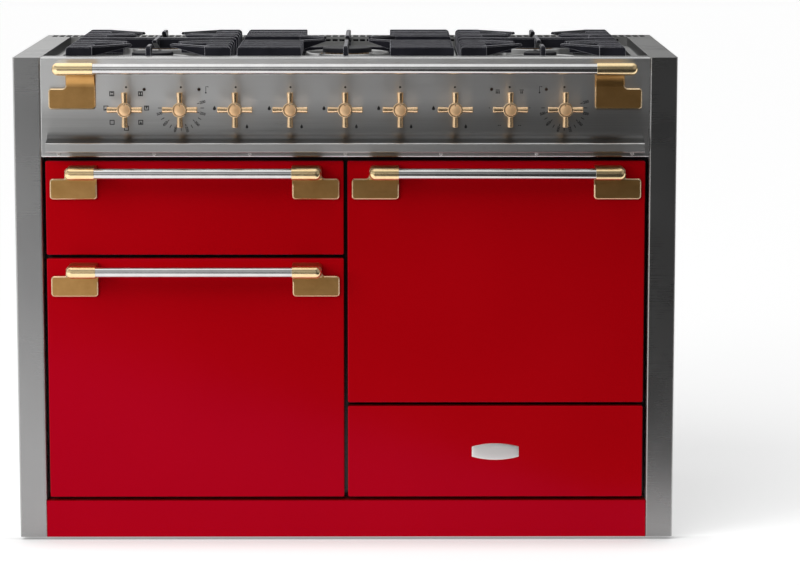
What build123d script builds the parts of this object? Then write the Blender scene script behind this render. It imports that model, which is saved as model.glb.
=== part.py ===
from build123d import *
import math
import os

# Dual fuel range cooker of the 48 inch class: two drop-door ovens, a broiler drawer, a storage
# drawer and a five burner hob. X runs to the right, Y to the back and Z up, in millimetres.
# The origin is on the floor, under the middle of the overall box.

# Overall sizes
WIDTH = 1213.0            # across the side panels
BODY_DEPTH = 635.0        # door faces to rear panel
HANDLE_REACH = 65.0       # door faces to the front of the handles
SIDE_TOP = 898.0          # floor to the top of the side panels
GRATE_RISE = 16.0         # side panel top to grate top
SHEET = 2.0               # folded steel sheet
SEAT_GAP = 0.3            # loose seat between two pieces
RUN_FIT = 0.05            # radial clearance of a turning fit

# Front layout
PILASTER = 50.0
REVEAL = 7.0              # black gap between neighbouring fronts
FLOOR_GAP = 6.0
KICK_HEIGHT = 68.5
CONTROL_HEIGHT = 182.5
LEFT_DOOR_HEIGHT = 447.0
DRAWER_FRONT_HEIGHT = 171.0
EDGE_ROUND = 3.0          # rounded edge of the enamelled fronts

# Depth of the doors, from the face backwards
SKIN_DEPTH = 22.0
PLUG_DEPTH = 18.0
SEAL_GAP = 4.0
FRAME_SHEET = 3.0

# Ovens, broiler and drawer housing: margins from the front that covers each opening
OVEN_SIDE = 50.0
OVEN_SILL = 46.0
OVEN_HEAD = 45.0
OVEN_DEPTH = 420.0
BROILER_SILL = 26.0
BROILER_HEAD = 22.0
HOUSING_SIDE = 38.0
HOUSING_SILL = 16.0
HOUSING_HEAD = 13.0
HOUSING_DEPTH = 450.0
PLUG_LAP = 16.0           # door plug beyond the opening
SEAL_WIDTH = 10.0
SEAL_INSET = 2.0

# Door hinges
HINGE_BACK = 16.0         # door face to hinge axis
HINGE_UP = 18.0           # door bottom to hinge axis
HINGE_SIDE = 58.0         # door side to hinge
PIN_RADIUS = 4.0
LUG_WIDTH = 8.0
LUG_RADIUS = 6.0
LUG_CLEARANCE = 1.5
EAR_WIDTH = 6.0
EAR_WALL = 5.0
HINGE_FLANGE = (32.0, 22.0, 3.0)

# Base
BASE_SKIRT = 40.0
FOOT_RADIUS = 24.0
FOOT_HEIGHT = 10.0
STUD_RADIUS = 6.0
FOOT_INSET = 45.0
FOOT_FRONT = 90.0
FOOT_REAR = 70.0
BOSS_WALL = 5.0
BOSS_LENGTH = 32.0

# Hob, vent trim and burners
STRIP_DEPTH = 50.0
VENT_DEPTH = 60.0
HOB_DROP = 18.0
WELL_DEPTH = 8.0
RIM = 12.0
VENT_PITCH = 13.7
VENT_SLOT = 10.2
VENT_MARGIN = 5.0
VENT_FACE_SLOT = 4.5
BURNER_OFFSET = 130.0     # hob middle to the front and rear burners
CUP_RADIUS = 20.0
CUP_DEPTH = 14.0
HEAD_LIP = 5.0            # burner cap beyond the burner head
HEAD_HEIGHT = 15.0
CAP_HEIGHT = 9.0
CAP_ROUND = 3.0
PORT_COUNT = 24
PORT_WIDTH = 2.0
PORT_HEIGHT = 5.0
RING_WIDTH = 16.0
RING_HEIGHT = 15.0
RING_SLOPE = 5.0
IGNITER_RADIUS = 2.5
IGNITER_GAP = 4.0

# Cast-iron grates
CENTRE_GRATE_WIDTH = 400.0
GRATE_STRIP = 12.0        # steel showing between two grates
GRATE_SIDE = 28.5
GRATE_END = 6.0
RIB_THICKNESS = 9.0
RIB_PITCH = 55.0
RIBS_PER_HALF = 4
RIB_DEPTH = 20.0
RIB_CREST = 5.4           # flat on top of a rib
RIB_SHOULDER = 2.6        # height over which a rib narrows to its crest
FINGER_TIP = 5.0          # depth of a finger at its end
LEG_WIDTH = 12.0
LEG_ROUND = 7.5
LEG_FILLET = 8.0
TIP_ROUND = 2.0
GRATE_BASE_HEIGHT = 8.0
SIDE_RIB = 48.0
CENTRE_RIB = 118.0
SIDE_CLEAR = 54.0         # open radius over a side burner
CENTRE_CLEAR = 56.0       # open radius over the centre burner

# Control panel
LIP_REACH = 36.0
LIP_HEIGHT = 17.6
LIP_UP = 11.6             # panel bottom to lip underside
LIP_SLOPE = 6.0           # fall of the lip's top from the panel to its front edge
SCOOP_RADIUS = 13.0
FOLD = 3.0                # outside radius of a folded edge
SCOOP_END = 11.5
END_ROUND = 1.6           # rounded upright edges at the panel's ends
KNOB_UP = 90.5            # panel bottom to knob axis
KNOB_PITCH = 100.0
KNOB_COUNT = 9
KNOB_HOLE = 6.0
LAMP_RADIUS = 2.9
LAMP_ASIDE = 33.0
LAMP_UP = 34.0
LAMP_LENGTH = 10.0
LAMP_PROUD = 2.0
LAMP_FIT = 0.1

# Knobs, taps and switches, measured from the panel face
SPINDLE_RADIUS = 3.0
SPINDLE_DEPTH = 36.0
KNOB_STANDOFF = 8.0
STEM_RADIUS = 8.0
HUB_RADIUS = 13.5
HUB_BACK = 34.0
HUB_FRONT = 48.0
HUB_RIM = 3.0
HUB_RECESS = 1.2
HUB_CROWN = 1.6           # rise of the domed face inside the rim
HUB_GROOVE = 0.4          # rim to the foot of the dome
SPOKE_REACH = 32.0
SPOKE_ROOT = 4.4
SPOKE_TIP = 5.8
SPOKE_ROUND = 1.2
POINTER_RADIUS = 1.2
KNOB_PUSH = 3.0
CONE_RADIUS = 8.0
CONE_FRONT = 16.0
SPRING_ROOM = 3.0         # left behind the spindle of a pushed knob
CONE_FLOOR = 4.0
TAP_FRONT = 14.0
TAP_HALF = 14.0
SWITCH_HALF = 20.0
SWITCH_BACK = 54.0

# Gas rail and burner pipes
RAIL_RADIUS = 8.0
RAIL_BACK = 66.0          # panel face to rail axis
RAIL_OVERHANG = 45.0
RAIL_SIDE = 22.0          # supply pipe to the side wall
RAIL_BEND = 30.0
SUPPLY_REAR = 60.0
INLET_UP = 60.0
INLET_RADIUS = 10.67
INLET_LENGTH = 20.0
INLET_REAR = 12.0
PIPE_RADIUS = 4.0
PIPE_BEND = 10.0
PIPE_DROP = 28.0          # hob well to burner pipe axis

# Handles
BAR_RADIUS = 9.75
BARREL_RADIUS = 11.5
BARREL_DOME = 10.5
SOCKET_DEPTH = 20.0
BAR_FIT = 0.1
PLATE_WIDTH = 86.0
PLATE_HEIGHT = 38.0
PLATE_THICKNESS = 6.0
PLATE_ROUND = 6.0
PLATE_BEVEL = 2.0
PLATE_INSET = 8.0
NECK_WIDTH = 54.0
NECK_FILLET = 6.5         # plate's top edge into the neck
RAIL_BARREL = 74.0
HANDLE_DROP = 18.0        # front's top edge to the bar axis
HANDLE_PLATE_DROP = 14.0  # bar axis to the plate's top
HANDRAIL_DROP = 17.0
HANDRAIL_PLATE_DROP = 39.0
ARM_TOP = 10.8            # door bracket's arm above and below the bar axis
ARM_LOW = 9.0
ARM_FILLET = 8.0
ARM_ROUND = 8.0
NECK_BEND = 33.0          # inner bend of the handrail bracket's neck
NECK_RUN = 2.0            # straight part of the neck below its bend

# Oven fittings
FAN_RADIUS = 70.0
FAN_BLADES = 8
FAN_HUB = 12.0
FAN_DEPTH = 18.0
FAN_BACK = 8.0
FAN_BLADE = 2.0
SHAFT_RADIUS = 4.0
SHAFT_HOLE = 7.0
SHAFT_IN_MOTOR = 36.0
COVER_WIDTH = 260.0
COVER_HEIGHT = 240.0
COVER_DEPTH = 34.0
COVER_SLOT = 8.0
COVER_SLOTS = 9
COVER_PITCH = 16.0
MOTOR_RADIUS = 32.0
MOTOR_LENGTH = 50.0
MOTOR_FLANGE = 90.0
MOTOR_PLATE = 3.0
ELEMENT_RADIUS = 4.0
ELEMENT_DROP = 18.0
ELEMENT_HALF = 165.0
ELEMENT_BEND = 22.0
ELEMENT_SHORT = 40.0
ELEMENT_FRONT = 50.0
RING_ELEMENT = 95.0
RING_TAIL = 18.0
WIRE = 3.0
CROSS_WIRE = 2.0
RACK_WIRES = 11
RACK_LEVELS = (100.0, 220.0)
WELD = 1.0                # how far two welded wires sink into each other
RACK_FIT = 0.7            # rack side to the posts of its ladder
RACK_BEND = 12.0
RACK_FRONT = 14.0
RACK_REAR = 8.0
LADDER_POSTS = (60.0, 330.0)
LADDER_END = 24.0

# Runners, broiler carriage and storage drawer
RUNNER_HEIGHT = 24.0
RUNNER_DEPTH = 10.0
RUNNER_LENGTH = 380.0
RUNNER_START = 4.0
RAIL_PROUD = 3.0
BROILER_RUNNER_UP = 30.0
DRAWER_RUNNER_UP = 62.0
BACK_PLATE_INSET = 1.0
LEDGE = 10.0
LEDGE_SHEET = 3.0
PAN_DEPTH = 20.0
PAN_START = 16.0
PAN_LENGTH = 340.0
PAN_RIM = 8.0
PAN_FIT = 1.0
CARRIAGE_ROD = 4.0
GRID_WIRES = 13
DRAWER_FLOOR_UP = 8.0
DRAWER_WALL = 97.0
DRAWER_LENGTH = 430.0

# Rear of the cooker
LOUVRES = 9
LOUVRE_SIZE = (120.0, 6.0)
LOUVRE_PITCH = 22.0
LOUVRE_UP = 420.0
SERVICE_FROM = 150.0      # side wall to the far edge of the service window
SERVICE_TO = 4.0
SERVICE_UP = 12.0
SERVICE_HEIGHT = 108.0
BOX_FROM = 145.0
BOX_TO = 72.0
BOX_DEPTH = 60.0
BOX_REAR = 10.0
BOX_HEIGHT = 85.0
CABLE_HOLE = 14.3
CABLE_UP = 45.0

# Places worked out from the sizes above
Y_FRONT = (HANDLE_REACH - BODY_DEPTH) / 2
Y_REAR = Y_FRONT + BODY_DEPTH
Y_SKIN = Y_FRONT + SKIN_DEPTH
Y_PLUG = Y_SKIN + PLUG_DEPTH
Y_FRAME = Y_PLUG + SEAL_GAP
Y_CAVITY = Y_FRAME + FRAME_SHEET
Y_BACK = Y_CAVITY + OVEN_DEPTH
Y_STRIP = Y_FRONT + STRIP_DEPTH
Y_VENT = Y_REAR - VENT_DEPTH
Y_HOB = (Y_STRIP + Y_VENT) / 2
Y_HINGE = Y_FRONT + HINGE_BACK
Y_RAIL = Y_FRONT + RAIL_BACK
BAR_OUT = HANDLE_REACH - BARREL_RADIUS
X_SIDE = WIDTH / 2
X_IN = X_SIDE - PILASTER
FRONT_WIDTH = X_IN - 1.5 * REVEAL
COLUMN_X = (FRONT_WIDTH + REVEAL) / 2
KICK_TOP = FLOOR_GAP + KICK_HEIGHT
FRONTS_BOTTOM = KICK_TOP + REVEAL
BASE_TOP = FRONTS_BOTTOM - REVEAL / 2
CONTROL_BOTTOM = SIDE_TOP - CONTROL_HEIGHT
FRONTS_TOP = CONTROL_BOTTOM - REVEAL
LEFT_DOOR = (FRONTS_BOTTOM, FRONTS_BOTTOM + LEFT_DOOR_HEIGHT)
BROILER_FRONT = (LEFT_DOOR[1] + REVEAL, FRONTS_TOP)
DRAWER_FRONT = (FRONTS_BOTTOM, FRONTS_BOTTOM + DRAWER_FRONT_HEIGHT)
RIGHT_DOOR = (DRAWER_FRONT[1] + REVEAL, FRONTS_TOP)
LEFT_OVEN = (LEFT_DOOR[0] + OVEN_SILL, LEFT_DOOR[1] - OVEN_HEAD)
RIGHT_OVEN = (RIGHT_DOOR[0] + OVEN_SILL, RIGHT_DOOR[1] - OVEN_HEAD)
BROILER = (BROILER_FRONT[0] + BROILER_SILL, BROILER_FRONT[1] - BROILER_HEAD)
HOUSING = (DRAWER_FRONT[0] + HOUSING_SILL, DRAWER_FRONT[1] - HOUSING_HEAD)
OVEN_HALF = FRONT_WIDTH / 2 - OVEN_SIDE
HOUSING_HALF = FRONT_WIDTH / 2 - HOUSING_SIDE
KNOB_Z = CONTROL_BOTTOM + KNOB_UP
RIM_Z = SIDE_TOP - HOB_DROP
WELL_Z = RIM_Z - WELL_DEPTH
HEAD_Z = WELL_Z + HEAD_HEIGHT
GRATE_TOP = SIDE_TOP + GRATE_RISE
VENT_HEIGHT = HOB_DROP + SHEET
SIDE_GRATE_WIDTH = X_IN - RIM - GRATE_SIDE - CENTRE_GRATE_WIDTH / 2 - GRATE_STRIP
SIDE_GRATE_X = CENTRE_GRATE_WIDTH / 2 + GRATE_STRIP + SIDE_GRATE_WIDTH / 2
GRATE_HALF_LENGTH = (Y_VENT - Y_STRIP) / 2 - RIM - GRATE_END
CONE_BORE = SPINDLE_DEPTH + KNOB_PUSH + SPRING_ROOM
CONE_BACK = CONE_BORE + CONE_FLOOR
KNOB_X = [KNOB_PITCH * (i - (KNOB_COUNT - 1) / 2) for i in range(KNOB_COUNT)]
GAS_KNOBS = range(2, 7)
SWITCH_KNOBS = [i for i in range(KNOB_COUNT) if i not in GAS_KNOBS]
LEFT_X = -COLUMN_X
RIGHT_X = COLUMN_X

# Burners from the left front one to the right front one, in the order of their knobs:
# place, cap radius and radius of the raised ring in the hob
BURNERS = [
    ((-SIDE_GRATE_X, Y_HOB - BURNER_OFFSET), 39.0, 77.5),
    ((-SIDE_GRATE_X, Y_HOB + BURNER_OFFSET), 41.5, 77.5),
    ((0.0, Y_HOB), 47.0, 84.0),
    ((SIDE_GRATE_X, Y_HOB + BURNER_OFFSET), 40.5, 77.5),
    ((SIDE_GRATE_X, Y_HOB - BURNER_OFFSET), 31.0, 77.5),
]


def block(x, y, z):
    """Box between two corners, each side given as a pair of ends in any order."""
    spans = [sorted(pair) for pair in (x, y, z)]
    middle = [(low + high) / 2 for low, high in spans]
    return Pos(*middle) * Box(*[high - low for low, high in spans])


def around(middle, half):
    """Span of a given half size about a middle."""
    return (middle - half, middle + half)


def rod(start, end, radius):
    """Round bar between two points."""
    run = Vector(*end) - Vector(*start)
    bar = Cylinder(radius, run.length, align=(Align.CENTER, Align.CENTER, Align.MIN))
    return Plane(origin=start, z_dir=run) * bar


def tube(points, bend, radius, closed=False):
    """Round bar along straight runs joined by arcs."""
    path = FilletPolyline(*points, radius=bend, close=closed)
    return sweep(Plane(origin=path @ 0, z_dir=path % 0) * Circle(radius), path=path)


def outline(points, radii):
    """Closed face with a rounding radius at each corner."""
    return make_face(FilletPolyline(*points, radius=radii, close=True))


def fused(shapes):
    """One solid out of several that meet."""
    first, *rest = shapes
    return first.fuse(*rest) if rest else first


def mirrored(shape):
    """The same shape on the other side of the middle plane."""
    return mirror(shape, about=Plane.YZ)


# Casing

def side_panel_right():
    """Folded side with its front pilaster, top and inner returns, open to the inside."""
    side = block((X_IN, X_SIDE), (Y_FRONT, Y_REAR), (FLOOR_GAP, SIDE_TOP))
    front_edges = side.edges().filter_by(Axis.Z).group_by(Axis.Y)[0]
    side = fillet(front_edges, FOLD)
    side -= block((X_IN + SHEET, X_SIDE - SHEET), (Y_FRONT + SHEET, Y_REAR), (FLOOR_GAP, SIDE_TOP - SHEET))
    side -= block((X_IN, X_IN + SHEET), (Y_CAVITY, Y_REAR), (FLOOR_GAP, RIM_Z - SHEET))
    return side - block((X_IN, X_SIDE), (Y_VENT, Y_REAR), (SIDE_TOP - VENT_HEIGHT, SIDE_TOP))


def foot_places():
    """Where the four levelling feet stand."""
    rows = (Y_FRONT + FOOT_FRONT, Y_REAR - FOOT_REAR)
    return [(x, y) for x in (FOOT_INSET - X_IN, X_IN - FOOT_INSET) for y in rows]


def chassis():
    """Base tray with foot bosses, the two inner walls and the centre partition."""
    depth = (Y_CAVITY, Y_REAR - SHEET)
    width = (-X_IN, X_IN)
    skirt = (BASE_TOP - BASE_SKIRT, BASE_TOP)
    tray = [block(width, depth, (BASE_TOP - SHEET, BASE_TOP))]
    tray.append(block(width, (depth[0], depth[0] + SHEET), skirt))
    tray.append(block(width, (depth[1] - SHEET, depth[1]), skirt))
    for x, y in foot_places():
        tray.append(rod((x, y, BASE_TOP - BOSS_LENGTH), (x, y, BASE_TOP), STUD_RADIUS + BOSS_WALL))
    base = fused(tray)
    for x, y in foot_places():
        base -= rod((x, y, BASE_TOP - BOSS_LENGTH), (x, y, BASE_TOP - SHEET), STUD_RADIUS + SEAT_GAP)
    wall = block((X_IN - SHEET, X_IN), depth, (BASE_TOP, RIM_Z - SHEET))
    partition = block(around(0, SHEET / 2), depth, (BASE_TOP, CONTROL_BOTTOM))
    return [base, mirrored(wall), partition, wall]


def levelling_feet():
    """Round pads on threaded studs that screw into the base tray."""
    feet = []
    for x, y in foot_places():
        pad = chamfer(Cylinder(FOOT_RADIUS, FOOT_HEIGHT).edges().group_by(Axis.Z)[-1], FOOT_HEIGHT / 3)
        stud = rod((x, y, FOOT_HEIGHT / 2), (x, y, BASE_TOP - SHEET), STUD_RADIUS)
        feet.append(Pos(x, y, FOOT_HEIGHT / 2) * pad + stud)
    return feet


def front_frame():
    """Black enamelled plate with the openings of the ovens, the broiler and the drawer."""
    frame = block((-X_IN, X_IN), (Y_FRAME, Y_CAVITY), (BASE_TOP - BASE_SKIRT, CONTROL_BOTTOM))
    for x, half, z in CAVITIES.values():
        frame -= block(around(x, half), (Y_FRAME, Y_CAVITY), z)
    return frame


def kick_panel():
    """Enamelled plinth plate with a return that reaches back to the front frame."""
    plate = block((-X_IN, X_IN), (Y_FRONT, Y_FRONT + SHEET), (FLOOR_GAP, KICK_TOP))
    return plate + block((-X_IN, X_IN), (Y_FRONT, Y_FRAME), (KICK_TOP - SHEET, KICK_TOP))


def rear_panel():
    """Rear sheet with two columns of louvre slots and a window to the connections."""
    panel = block(
        around(0, X_SIDE - SHEET),
        (Y_REAR - SHEET, Y_REAR),
        (BASE_TOP - BASE_SKIRT, SIDE_TOP - VENT_HEIGHT),
    )
    slot = extrude(Plane.XZ * SlotOverall(*LOUVRE_SIZE), SHEET, both=True)
    for x in (LEFT_X, RIGHT_X):
        panel -= [Pos(x, Y_REAR, LOUVRE_UP + i * LOUVRE_PITCH) * slot for i in range(LOUVRES)]
    low = BASE_TOP + SERVICE_UP
    window = (X_IN - SERVICE_FROM, X_IN - SERVICE_TO)
    return panel - block(window, (Y_REAR - SHEET, Y_REAR), (low, low + SERVICE_HEIGHT))


def terminal_box():
    """Open-fronted sheet box for the mains terminals, with the cable hole in its rear wall."""
    x = (X_IN - BOX_FROM, X_IN - BOX_TO)
    y = (Y_REAR - BOX_REAR - BOX_DEPTH, Y_REAR - BOX_REAR)
    box = block(x, y, (BASE_TOP, BASE_TOP + BOX_HEIGHT))
    inner = [(low + SHEET, high - SHEET) for low, high in (x, y)]
    box -= block(*inner, (BASE_TOP + SHEET, BASE_TOP + BOX_HEIGHT - SHEET))
    middle = (sum(x) / 2, y[1], BASE_TOP + CABLE_UP)
    return box - rod((middle[0], y[1] - SHEET, middle[2]), middle, CABLE_HOLE)


# Hob

def hob_top():
    """Pressed top: a rim, a shallow well and a raised ring round each burner."""
    well_x = X_IN - RIM
    well_y = (Y_STRIP + RIM, Y_VENT - RIM)
    pan_y = (well_y[0] - SHEET, well_y[1] + SHEET)
    rim = block((-X_IN, X_IN), (Y_STRIP, Y_VENT), (RIM_Z - SHEET, RIM_Z))
    pan = block(around(0, well_x + SHEET), pan_y, (WELL_Z - SHEET, RIM_Z))
    hob = rim + pan - block(around(0, well_x), well_y, (WELL_Z, RIM_Z))
    for (x, y), _, ring in BURNERS:
        inner = ring - RING_WIDTH
        section = [
            (inner, WELL_Z),
            (inner + RING_SLOPE, WELL_Z + RING_HEIGHT),
            (ring - RING_SLOPE, WELL_Z + RING_HEIGHT),
            (ring, WELL_Z),
        ]
        face = Plane.XZ * outline(section, [0, RING_SLOPE / 2, RING_SLOPE / 2, 0])
        hob += Pos(x, y, 0) * revolve(face, Axis.Z)
        hob -= rod((x, y, WELL_Z - SHEET), (x, y, WELL_Z), CUP_RADIUS + SEAT_GAP)
    return hob


def rear_vent_trim():
    """Full width cap over the flue, with slots in its top and its front face."""
    depth = (Y_VENT, Y_REAR)
    trim = block((-X_SIDE, X_SIDE), depth, (SIDE_TOP - VENT_HEIGHT, SIDE_TOP))
    inner = (depth[0] + SHEET, depth[1] - SHEET)
    trim -= block(around(0, X_SIDE - SHEET), inner, (SIDE_TOP - VENT_HEIGHT, SIDE_TOP - SHEET))
    top_slot = Box(VENT_SLOT, VENT_DEPTH - 2 * VENT_MARGIN, 2 * SHEET)
    face_slot = Box(VENT_SLOT, 2 * SHEET, VENT_FACE_SLOT)
    count = int((X_SIDE - VENT_MARGIN - VENT_SLOT / 2) / VENT_PITCH)
    places = [i * VENT_PITCH for i in range(-count, count + 1)]
    cuts = [Pos(x, sum(depth) / 2, SIDE_TOP) * top_slot for x in places]
    face_z = SIDE_TOP - VENT_MARGIN / 2 - SHEET - VENT_FACE_SLOT / 2
    cuts += [Pos(x, Y_VENT, face_z) * face_slot for x in places if abs(x) < X_IN - VENT_SLOT]
    return trim - cuts


def burner_heads():
    """Ported heads with their gas cups below the hob, and an igniter beside each."""
    pieces = []
    for (x, y), cap, _ in BURNERS:
        radius = cap - HEAD_LIP
        head = rod((0, 0, WELL_Z), (0, 0, HEAD_Z), radius)
        head += rod((0, 0, WELL_Z - CUP_DEPTH - SHEET), (0, 0, WELL_Z), CUP_RADIUS)
        port = Pos(0, 0, HEAD_Z - PORT_HEIGHT / 2) * Box(2 * HEAD_LIP, PORT_WIDTH, PORT_HEIGHT)
        head -= [place * port for place in PolarLocations(radius, PORT_COUNT)]
        pieces.append(Pos(x, y, 0) * head)
        aside = x - radius - IGNITER_GAP - IGNITER_RADIUS
        pieces.append(rod((aside, y, WELL_Z), (aside, y, HEAD_Z - PORT_HEIGHT / 2), IGNITER_RADIUS))
    return pieces


def burner_caps():
    """Round caps with a rolled edge, one on each burner head."""
    caps = []
    for (x, y), radius, _ in BURNERS:
        cap = Cylinder(radius, CAP_HEIGHT)
        cap = fillet(cap.edges().group_by(Axis.Z)[-1], CAP_ROUND)
        caps.append(Pos(x, y, HEAD_Z + CAP_HEIGHT / 2) * cap)
    return caps


def grate_blade(start, end, tip_depth, legged):
    """Upright iron blade that narrows to a crest. A legged one turns down to the hob at its start."""
    run = Vector(*end) - Vector(*start)
    along = run.normalized()
    plane = Plane(
        origin=(*start, 0),
        x_dir=(along.X, along.Y, 0),
        z_dir=(along.Y, -along.X, 0),
    )
    tip = [(run.length, GRATE_TOP), (run.length, GRATE_TOP - tip_depth)]
    if legged:
        points = [(0, WELL_Z), (0, GRATE_TOP), *tip, (LEG_WIDTH, GRATE_TOP - RIB_DEPTH), (LEG_WIDTH, WELL_Z)]
        radii = [0, LEG_ROUND, TIP_ROUND, TIP_ROUND, LEG_FILLET, 0]
    else:
        points = [(0, GRATE_TOP - RIB_DEPTH), (0, GRATE_TOP), *tip]
        radii = [0, 0, TIP_ROUND, TIP_ROUND]
    half = RIB_THICKNESS / 2
    section = Polyline(
        (-half, WELL_Z),
        (-half, GRATE_TOP - RIB_SHOULDER),
        (-RIB_CREST / 2, GRATE_TOP),
        (RIB_CREST / 2, GRATE_TOP),
        (half, GRATE_TOP - RIB_SHOULDER),
        (half, WELL_Z),
        close=True,
    )
    across = Plane(origin=(*start, 0), x_dir=plane.z_dir, z_dir=-plane.x_dir)
    crested = extrude(across * make_face(section), -run.length)
    return extrude(plane * outline(points, radii), half, both=True) & crested


def towards(start, goal, clear):
    """Point on the way from a start to a goal, stopping at a radius from the goal."""
    back = Vector(*start) - Vector(*goal)
    stop = Vector(*goal) + back.normalized() * clear
    return (stop.X, stop.Y)


def grate_base(half_width):
    """Low frame round the foot of a grate."""
    height = (WELL_Z, WELL_Z + GRATE_BASE_HEIGHT)
    base = block(around(0, half_width), around(Y_HOB, GRATE_HALF_LENGTH), height)
    inner = block(
        around(0, half_width - LEG_WIDTH),
        around(Y_HOB, GRATE_HALF_LENGTH - LEG_WIDTH),
        height,
    )
    return base - inner


def rib_offsets():
    """Distances of the ribs from the middle of the hob, outermost first."""
    last = GRATE_HALF_LENGTH - RIB_THICKNESS / 2
    return [last - i * RIB_PITCH for i in range(RIBS_PER_HALF)]


def spines(burners, clear):
    """Blades along the middle of a grate, from its front and rear ends to the nearest burner."""
    blades = []
    for way in (-1, 1):
        goal = (0, max(way * (y - Y_HOB) for y in burners) * way + Y_HOB)
        start = (0, Y_HOB + way * GRATE_HALF_LENGTH)
        blades.append(grate_blade(start, towards(start, goal, clear), FINGER_TIP, True))
    return blades


def side_grate():
    """Grate over two burners: ribs, fingers that point at each burner, and a cross rib."""
    half = SIDE_GRATE_WIDTH / 2
    burners = (Y_HOB - BURNER_OFFSET, Y_HOB + BURNER_OFFSET)
    blades = [grate_base(half), *spines(burners, SIDE_CLEAR)]
    offsets = rib_offsets()
    corner, nearest = offsets[0], offsets[-1]
    straight = min(offsets, key=lambda offset: abs(offset - BURNER_OFFSET))
    for side in (-1, 1):
        blades.append(grate_blade((side * half, Y_HOB), (-side * RIB_THICKNESS, Y_HOB), RIB_DEPTH, True))
        for way, burner in zip((-1, 1), burners):
            for offset in offsets:
                y = Y_HOB + way * offset
                end = (side * (half - SIDE_RIB), y)
                root = (side * (half - SIDE_RIB + RIB_THICKNESS), y)
                goal = (0, burner)
                if offset == straight:
                    end = (side * SIDE_CLEAR, y)
                blades.append(grate_blade((side * half, y), end, RIB_DEPTH, True))
                if offset in (corner, nearest):
                    blades.append(grate_blade(root, towards(root, goal, SIDE_CLEAR), FINGER_TIP, False))
    for burner in burners:
        start = (0, Y_HOB)
        blades.append(grate_blade(start, towards(start, (0, burner), SIDE_CLEAR), FINGER_TIP, False))
    return fused(blades)


def centre_grate():
    """Wide grate over the large burner: ribs from both sides, spines and diagonal fingers."""
    half = CENTRE_GRATE_WIDTH / 2
    goal = (0, Y_HOB)
    blades = [grate_base(half), *spines([Y_HOB], CENTRE_CLEAR)]
    offsets = rib_offsets()
    for side in (-1, 1):
        for way in (-1, 1):
            for offset in offsets:
                y = Y_HOB + way * offset
                end = (side * (half - CENTRE_RIB), y)
                blades.append(grate_blade((side * half, y), end, RIB_DEPTH, True))
            root = (side * (half - CENTRE_RIB + RIB_THICKNESS), Y_HOB + way * offsets[-1])
            blades.append(grate_blade(root, towards(root, goal, CENTRE_CLEAR), FINGER_TIP, False))
    return fused(blades)


# Control panel and handles

def panel_section(scooped):
    """Folded section of the control panel in Y and Z, with or without its forward lip."""
    points = [(Y_STRIP, RIM_Z - SHEET), (Y_STRIP, SIDE_TOP), (Y_FRONT, SIDE_TOP)]
    radii = [FOLD, FOLD]
    lip_bottom = CONTROL_BOTTOM + LIP_UP
    lip_top = lip_bottom + LIP_HEIGHT
    if scooped:
        points += [(Y_FRONT, lip_top + LIP_SLOPE), (Y_FRONT - LIP_REACH, lip_top)]
        points += [(Y_FRONT - LIP_REACH, lip_bottom), (Y_FRONT, lip_bottom)]
        radii += [SCOOP_RADIUS, FOLD, FOLD, SHEET / 2]
    points += [(Y_FRONT, CONTROL_BOTTOM), (Y_CAVITY, CONTROL_BOTTOM)]
    return make_face(offset(FilletPolyline(*points, radius=radii + [FOLD]), SHEET, side=Side.LEFT))


def scoop_cheek():
    """End wall of the scoop, between the lip and the plane of the panel."""
    lip_bottom = CONTROL_BOTTOM + LIP_UP
    lip_top = lip_bottom + LIP_HEIGHT
    corner = (Y_FRONT, lip_top + LIP_SLOPE)
    points = [
        (Y_FRONT + SHEET, lip_bottom),
        (Y_FRONT + SHEET, KNOB_Z),
        (Y_FRONT, KNOB_Z),
        corner,
        (Y_FRONT - LIP_REACH, lip_top),
        (Y_FRONT - LIP_REACH, lip_bottom),
    ]
    face = outline(points, [0, 0, 0, SCOOP_RADIUS, FOLD, FOLD])
    return extrude(Plane.YZ * face, SHEET)


def lamp_places():
    """X of the indicator lamps, beside the oven knobs on the side of the middle."""
    return [KNOB_X[i] - math.copysign(LAMP_ASIDE, KNOB_X[i]) for i in SWITCH_KNOBS]


def control_panel():
    """Stainless panel: flat ends, scooped lip, top strip, and holes for knobs and lamps."""
    half = X_IN - SCOOP_END
    middle = Pos(-half, 0, 0) * extrude(Plane.YZ * panel_section(True), 2 * half)
    end = Pos(half, 0, 0) * extrude(Plane.YZ * panel_section(False), SCOOP_END)
    cheek = Pos(half - SHEET, 0, 0) * scoop_cheek()
    panel = middle.fuse(end, mirrored(end), cheek, mirrored(cheek))
    uprights = panel.edges().filter_by(Axis.Z).group_by(Axis.X)
    corners = [group.sort_by(Axis.Y)[0] for group in (uprights[0], uprights[-1])]
    panel = fillet(corners, END_ROUND)
    holes = [(x, KNOB_Z, KNOB_HOLE) for x in KNOB_X]
    holes += [(x, KNOB_Z + LAMP_UP, LAMP_RADIUS + LAMP_FIT) for x in lamp_places()]
    return panel - [rod((x, Y_FRONT, z), (x, Y_FRONT + SHEET, z), radius) for x, z, radius in holes]


def indicator_lamps():
    """Small round lenses that stand a little proud of the panel."""
    lamps = []
    for x in lamp_places():
        z = KNOB_Z + LAMP_UP
        lens = rod((x, Y_FRONT - LAMP_PROUD, z), (x, Y_FRONT + LAMP_LENGTH, z), LAMP_RADIUS)
        lamps.append(fillet(lens.edges().group_by(Axis.Y)[0], LAMP_PROUD / 2))
    return lamps


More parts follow.
